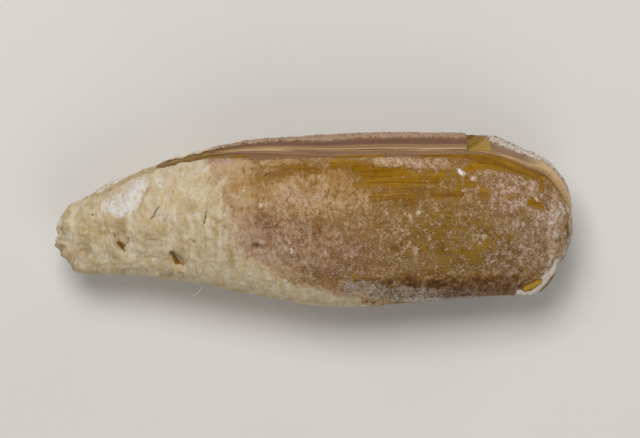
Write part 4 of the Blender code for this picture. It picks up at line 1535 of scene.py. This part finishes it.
@dataclass
class Valve:
    """One valve of the shell, with its crust, its edge and its hollow, and the grains on it."""

    side: Side
    form: ShellForm
    painter: Painter
    cells_along: int = 420
    cells_around: int = 200
    hollow_cell: int = 10
    edge_bevel: float = 0.05
    edge_row: float = 0.35
    chip_softness: float = 0.05
    grains_on_film: float = 0.8
    fewer_on_chalk: float = 0.45
    lowest_grain: float = 0.4

    def grid(self, along: int, around: int) -> tuple[np.ndarray, np.ndarray]:
        """Places of the grid's points, closer together near the belly margin of the right valve."""
        u = np.linspace(-1, 1, along + 1)
        p = 0.5 * u + 0.5 * np.arcsin(u) * 2 / math.pi
        v = np.linspace(0, 1, around + 1)
        if self.side is Side.RIGHT:
            v = 0.5 * v + 0.5 * v * v
        return tuple(part.ravel() for part in np.meshgrid(p, 1 - 2 * v, indexing="ij"))

    def border(self, along: int, around: int) -> np.ndarray:
        """The numbers of the points round the edge of a grid, in order."""
        row = around + 1
        route = [i * row for i in range(along)]
        route += [along * row + j for j in range(around)]
        route += [i * row + around for i in range(along, 0, -1)]
        route += list(range(around, 0, -1))
        return np.array(route)

    def grid_faces(self, along: int, around: int, start: int) -> list[tuple[int, int, int]]:
        """Triangles of a grid, whose diagonals point at its middle."""
        faces = []
        row = around + 1
        for i in range(along):
            for j in range(around):
                a, b = start + i * row + j, start + (i + 1) * row + j
                c, d = b + 1, a + 1
                if (i < along / 2) == (j < around / 2):
                    faces += [(a, b, c), (a, c, d)]
                else:
                    faces += [(a, b, d), (b, c, d)]
        return faces

    def edge_faces(self, rings: list[np.ndarray]) -> list[tuple[int, int, int]]:
        """Triangles of the edge, between closed rows of points."""
        faces = []
        for near, far in zip(rings, rings[1:]):
            for here, after, inward, inward_after in zip(near, np.roll(near, -1), far, np.roll(far, -1)):
                faces += [(int(here), int(inward), int(after)), (int(after), int(inward), int(inward_after))]
        return faces

    def seam_faces(self, fine: np.ndarray, coarse: np.ndarray) -> list[tuple[int, int, int]]:
        """Triangles between the fine row of the edge and the coarse row of the hollow."""
        faces = []
        step = self.hollow_cell
        for k, here in enumerate(coarse):
            after = coarse[(k + 1) % len(coarse)]
            run = [int(fine[(step * k + n) % len(fine)]) for n in range(step + 1)]
            for n in range(step):
                faces.append((run[n], int(here if n < step // 2 else after), run[n + 1]))
            faces.append((run[step // 2], int(here), int(after)))
        return faces

    def mesh(self, name: str) -> bpy.types.Object:
        """Builds the valve's closed surface with every layer as an attribute."""
        form, bevel, step = self.form, self.edge_bevel, self.hollow_cell
        p, q = self.grid(self.cells_along, self.cells_around)
        outer = form.skin(p, q, self.side, False)
        along, around, row = self.cells_along // step, self.cells_around // step, self.cells_around + 1
        coarse = [i * step * row + j * step for i in range(along + 1) for j in range(around + 1)]
        inner = form.skin(p[coarse], q[coarse], self.side, True)
        border = self.border(self.cells_along, self.cells_around)
        margin, inside = outer.points[border], form.skin(p[border], q[border], self.side, True).points
        towards = inside - margin
        towards[:, 2] = 0.0
        towards /= np.maximum(np.linalg.norm(towards, axis=1), 1e-9)[:, None]
        outer.points[border, 2] += self.side.value * bevel
        rows = [margin + towards * bevel, margin + towards * self.edge_row, inside]
        rim = Skin(np.concatenate(rows), np.tile(outer.place[border], 3), np.zeros(3 * len(border)),
                   np.tile(outer.run[border], 3), self.side)

        count = len(outer.points)
        rings = [border] + [count + k * len(border) + np.arange(len(border)) for k in range(3)]
        start = count + 3 * len(border)
        faces = self.grid_faces(self.cells_along, self.cells_around, 0) + self.edge_faces(rings)
        faces += [face[::-1] for face in self.grid_faces(along, around, start)]
        faces += self.seam_faces(rings[-1], start + self.border(along, around))
        if self.side is Side.RIGHT:
            faces = [face[::-1] for face in faces]
        made = smooth_object(name, np.concatenate([skin.world(form) for skin in (outer, rim, inner)]), faces)
        self.store(made.data, outer, rim, len(inner.points))
        return made

    def store(self, mesh: bpy.types.Mesh, outer: Skin, rim: Skin, inner_count: int) -> None:
        """Writes every layer and measure to the mesh.

        Args:
            mesh: The valve's mesh.
            outer: Its outer surface, whose points come first.
            rim: Its edge.
            inner_count: How many points the hollow adds.
        """
        form = self.form
        values = {layer.value: found for layer, found in self.painter.paint(outer).items()}
        values["edge"] = outer.edge
        values["band"] = form.bands(outer.edge, outer.place, self.side)
        values["run"] = outer.run
        values["chip"] = values["rim"] = np.zeros_like(outer.edge)
        if self.side is Side.RIGHT:
            values["chip"] = form.chip(outer.points[:, 0], outer.edge, self.chip_softness)
            values["cover"] = values["cover"] * (1 - values["chip"])
        dense = self.grains_on_film - self.fewer_on_chalk * values["chalk"]
        above = outer.world(form)[:, 2] > self.lowest_grain
        values["grain"] = smooth_step(0.0, 0.3, values["cover"]) * dense * above
        for name, found in values.items():
            added = np.full(len(rim.points) + inner_count, 1.0 if name == "rim" else 0.0)
            if name == "run":
                added[:len(rim.points)] = rim.run
            whole = np.concatenate([found, added]).astype(np.float32)
            mesh.attributes.new(name, "FLOAT", "POINT").data.foreach_set("value", whole)

    def build(self, finish: bpy.types.Material, grain_finish: bpy.types.Material, relief: bpy.types.NodeTree,
              grains: bpy.types.NodeTree) -> list[bpy.types.Object]:
        """Builds the valve and its grains and lets them stand for the solid.

        Args:
            finish: The valve's material.
            grain_finish: The grains' material.
            relief: The geometry tree that roughens the crust.
            grains: The geometry tree that strews grains.

        Returns:
            The finished pieces.
        """
        node = f"{self.side.name.lower()}_valve"
        plain = self.mesh(f"{node}_plain")
        shell = apply_tree(plain, relief, f"{node}_shell", Finish=finish)
        bpy.data.objects.remove(plain)
        strewn = apply_tree(shell, grains, f"{node}_crust_grains",
                            Finish=grain_finish, Seed=3 + self.side.value)
        for piece in (shell, strewn):
            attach(piece, "root")
        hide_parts(node)
        return [shell, strewn]


@dataclass
class Ligament:
    """The horny strap in the hinge groove, with the ridges of its layers."""

    form: ShellForm
    half_width: float = 0.42
    half_depth: float = 0.5
    sink: float = 0.75
    rear_inset: float = 0.07
    front_inset: float = 0.06
    ridges: int = 7
    ridge_height: float = 0.05
    unevenness: float = 0.04
    sides: int = 28
    steps: int = 90

    def build(self, finish: bpy.types.Material) -> bpy.types.Object:
        """Builds the strap as a ridged spindle along the hinge.

        Args:
            finish: Its material.

        Returns:
            The finished piece.
        """
        form = self.form
        rear, front = form.groove_rear + self.rear_inset, form.groove_front - self.front_inset
        tilt = np.linspace(0.0, math.pi, self.steps + 1)[1:-1]
        turn = np.linspace(0.0, 2 * math.pi, self.sides, endpoint=False)
        tilt, turn = (part.ravel() for part in np.meshgrid(tilt, turn, indexing="ij"))
        along, wide = -np.cos(tilt), np.sin(tilt)
        uneven = rough(np.stack([along * 12, turn, turn * 0], axis=1), 0.7)
        ridge = 1 + self.ridge_height * np.cos(self.ridges * turn) + self.unevenness * uneven
        place = np.append((rear + front) / 2 + along * (front - rear) / 2, (rear, front))
        away = np.append(wide * ridge, (0.0, 0.0))
        turn = np.append(turn, (0.0, 0.0))
        x = place * form.half_length
        y = self.hinge(place) + self.sink + np.sin(turn) * away * self.half_depth
        z = np.cos(turn) * away * self.half_width
        skin = Skin(np.stack([x, y, z], axis=1), x, x, x, Side.LEFT)
        tail, head, last = len(x) - 2, len(x) - 1, (self.steps - 2) * self.sides
        faces = tube_faces(0, self.steps - 1, self.sides)
        for here in range(self.sides):
            after = (here + 1) % self.sides
            faces += [(tail, after, here), (head, last + here, last + after)]
        piece = smooth_object("hinge_ligament", skin.world(form), faces)
        piece.data.materials.append(finish)
        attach(piece, "root")
        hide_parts("ligament")
        return piece

    def hinge(self, place: np.ndarray) -> np.ndarray:
        """Where the hinge margin lies across the shell's axis."""
        form = self.form
        wide = np.sqrt(1 - place * place) * curve_through(form.fullness, place) / form.reach
        return curve_through(form.centre, place) / math.cos(form.roll) - wide


@dataclass
class DustThreads:
    """Single dust fibres and torn threads that cling to the crust."""

    radius: float = 0.022
    tip_share: float = 0.5
    lift: float = 0.08
    sides: int = 5
    routes: tuple[Route, ...] = (
        ((-20.1, -4.35), (-20.5, -4.62), (-20.78, -4.55), (-20.72, -4.75)),
        ((-9.81, -6.0), (-10.05, -6.25), (-10.3, -6.6), (-10.55, -6.72), (-10.75, -6.7)),
        ((8.3, -7.2), (8.33, -7.45), (8.28, -7.62)),
        ((20.5, 4.35), (20.7, 4.55), (20.8, 4.72)),
        ((-15.2, -4.9), (-15.4, -5.12), (-15.3, -5.2)),
        ((-6.9, -6.55), (-6.75, -6.75), (-6.8, -6.85)),
    )

    def build(self, shell: bpy.types.Object, finish: bpy.types.Material) -> bpy.types.Object:
        """Builds every thread, rooted in the valve below it.

        Args:
            shell: The valve that the threads cling to.
            finish: Their material.

        Returns:
            The finished piece.
        """
        mesh = shell.data
        places = np.empty(len(mesh.vertices) * 3, np.float32)
        mesh.vertices.foreach_get("co", places)
        places = places.reshape(-1, 3) / MM
        points, faces = [], []
        for route in self.routes:
            root = places[np.argmin(np.hypot(places[:, 0] - route[0][0], places[:, 1] - route[0][1]))]
            line = [root] + [np.array((x, y, root[2] + self.lift * n)) for n, (x, y) in enumerate(route)]
            self.tube(np.array(line), points, faces)
        piece = smooth_object("dust_threads", np.array(points), faces)
        piece.data.materials.append(finish)
        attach(piece, "root")
        return piece

    def tube(self, line: np.ndarray, points: list[np.ndarray], faces: list[tuple[int, ...]]) -> None:
        """Adds one closed tube along a line.

        Args:
            line: The line's points.
            points: The points so far, which grow.
            faces: The faces so far, which grow.
        """
        start, sides = len(points), self.sides
        for n, place in enumerate(line):
            ahead = line[min(n + 1, len(line) - 1)] - line[max(n - 1, 0)]
            ahead = ahead / max(np.linalg.norm(ahead), 1e-6)
            side = np.cross(ahead, (0.0, 0.0, 1.0))
            side = side / max(np.linalg.norm(side), 1e-6)
            up = np.cross(side, ahead)
            thin = self.radius * (1.0 if n < len(line) - 1 else self.tip_share)
            for k in range(sides):
                turn = 2 * math.pi * k / sides
                points.append(place + thin * (math.cos(turn) * side + math.sin(turn) * up))
        faces += tube_faces(start, len(line), sides)
        faces.append(tuple(range(start, start + sides))[::-1])
        faces.append(tuple(range(len(points) - sides, len(points))))


# The studio


@dataclass(frozen=True)
class SoftLight:
    """A soft square light that faces the shell, with its place and width in metres and its power in watts."""

    name: str
    place: Point
    size: float
    power: float
    colour: Point

    def build(self, aim: Vector) -> None:
        """Hangs the light, turned to a point."""
        data = bpy.data.lights.new(self.name, "AREA")
        data.size = self.size
        data.energy = self.power
        data.color = self.colour
        light = add_object(self.name, data)
        light.location = self.place
        light.rotation_euler = (light.location - aim).to_track_quat("Z", "Y").to_euler()


@dataclass
class Studio:
    """The pale floor, the soft lights and the camera above the shell, with sizes in metres."""

    floor_size: float = 1.2
    floor_roughness: float = 0.9
    camera_place: Point = (0.00048, 0.0, 0.3942)
    lens: float = 250.0
    sensor_width: float = 36.0
    clip: Pair = (0.01, 10.0)
    aim_height: float = 0.006
    room_colour: Point = (1.0, 0.99, 0.97)
    room_strength: float = 0.22
    lights: tuple[SoftLight, ...] = (
        SoftLight("key_light", (-0.06, 0.165, 0.42), 0.19, 1.26, (1.0, 0.985, 0.96)),
        SoftLight("front_light", (0.10, -0.26, 0.34), 0.30, 0.34, (1.0, 0.97, 0.93)),
        SoftLight("rim_light", (0.24, 0.30, 0.07), 0.16, 0.25, (0.90, 0.95, 1.0)),
    )

    def build(self) -> None:
        """Sets up everything round the shell."""
        self.floor()
        self.camera()
        for light in self.lights:
            light.build(Vector((0.0, 0.0, self.aim_height)))
        world = bpy.data.worlds.new("soft_room")
        world.use_nodes = True
        background = world.node_tree.nodes["Background"]
        Tree(world.node_tree).fill(background, {"Color": self.room_colour, "Strength": self.room_strength})
        bpy.context.scene.world = world
        bpy.context.scene.view_settings.view_transform = "Standard"
        bpy.context.scene.view_settings.look = "None"

    def floor(self) -> None:
        """The pale floor that the shell lies on."""
        half = self.floor_size / 2
        mesh = bpy.data.meshes.new("floor")
        corners = [(-half, -half, 0), (half, -half, 0), (half, half, 0), (-half, half, 0)]
        mesh.from_pydata(corners, [], [(0, 1, 2, 3)])
        made, tree, shader = new_material("pale_floor")
        colour = tree.mix(tree.grain(tree.place(), 30.0), (0.70, 0.69, 0.67), (0.76, 0.75, 0.73))
        tree.fill(shader, {"Base Color": colour, "Roughness": self.floor_roughness})
        mesh.materials.append(made)
        add_object("floor", mesh)

    def camera(self) -> None:
        """The camera, straight above the shell."""
        data = bpy.data.cameras.new("camera")
        data.lens = self.lens
        data.sensor_width = self.sensor_width
        data.clip_start, data.clip_end = self.clip
        camera = add_object("camera", data)
        camera.location = self.camera_place
        bpy.context.scene.camera = camera


# Everything together


def main() -> None:
    """Builds the shell, its finishes and the studio, in order."""
    logging.basicConfig(level=logging.INFO, format="%(name)s: %(message)s")
    form = ShellForm()
    painter = Painter(form)
    groups = ShellGroups.build()
    finishes = {
        Side.LEFT: ShellFinish("upper_valve", LEFT_BANDS, LEFT_CRACKS, rear_line=1.0).material(groups),
        Side.RIGHT: ShellFinish("lower_valve", RIGHT_BANDS, front_lines=1.0).material(groups),
    }
    grains = GrainFinish("crust_grains").material(groups)
    strap = FibreFinish("ligament_horn", (0.055, 0.022, 0.007), (0.17, 0.08, 0.025), 0.3, 0.42, 0.08)
    threads = FibreFinish("dust_thread", (0.62, 0.58, 0.52), (0.8, 0.78, 0.74), 0.2, 0.8, 0.01)
    relief_tree, grain_tree = CrustRelief().build(), CrustGrains().build()

    pieces = []
    for side, finish in finishes.items():
        pieces += Valve(side, form, painter).build(finish, grains, relief_tree, grain_tree)
    pieces.append(Ligament(form).build(strap.material()))
    pieces.append(DustThreads().build(pieces[0], threads.material()))
    for piece in pieces:
        LOG.info("%s: %d faces", piece.name, len(piece.data.polygons))
    Studio().build()

    bpy.context.view_layer.update()


if __name__ == "__main__":
    main()
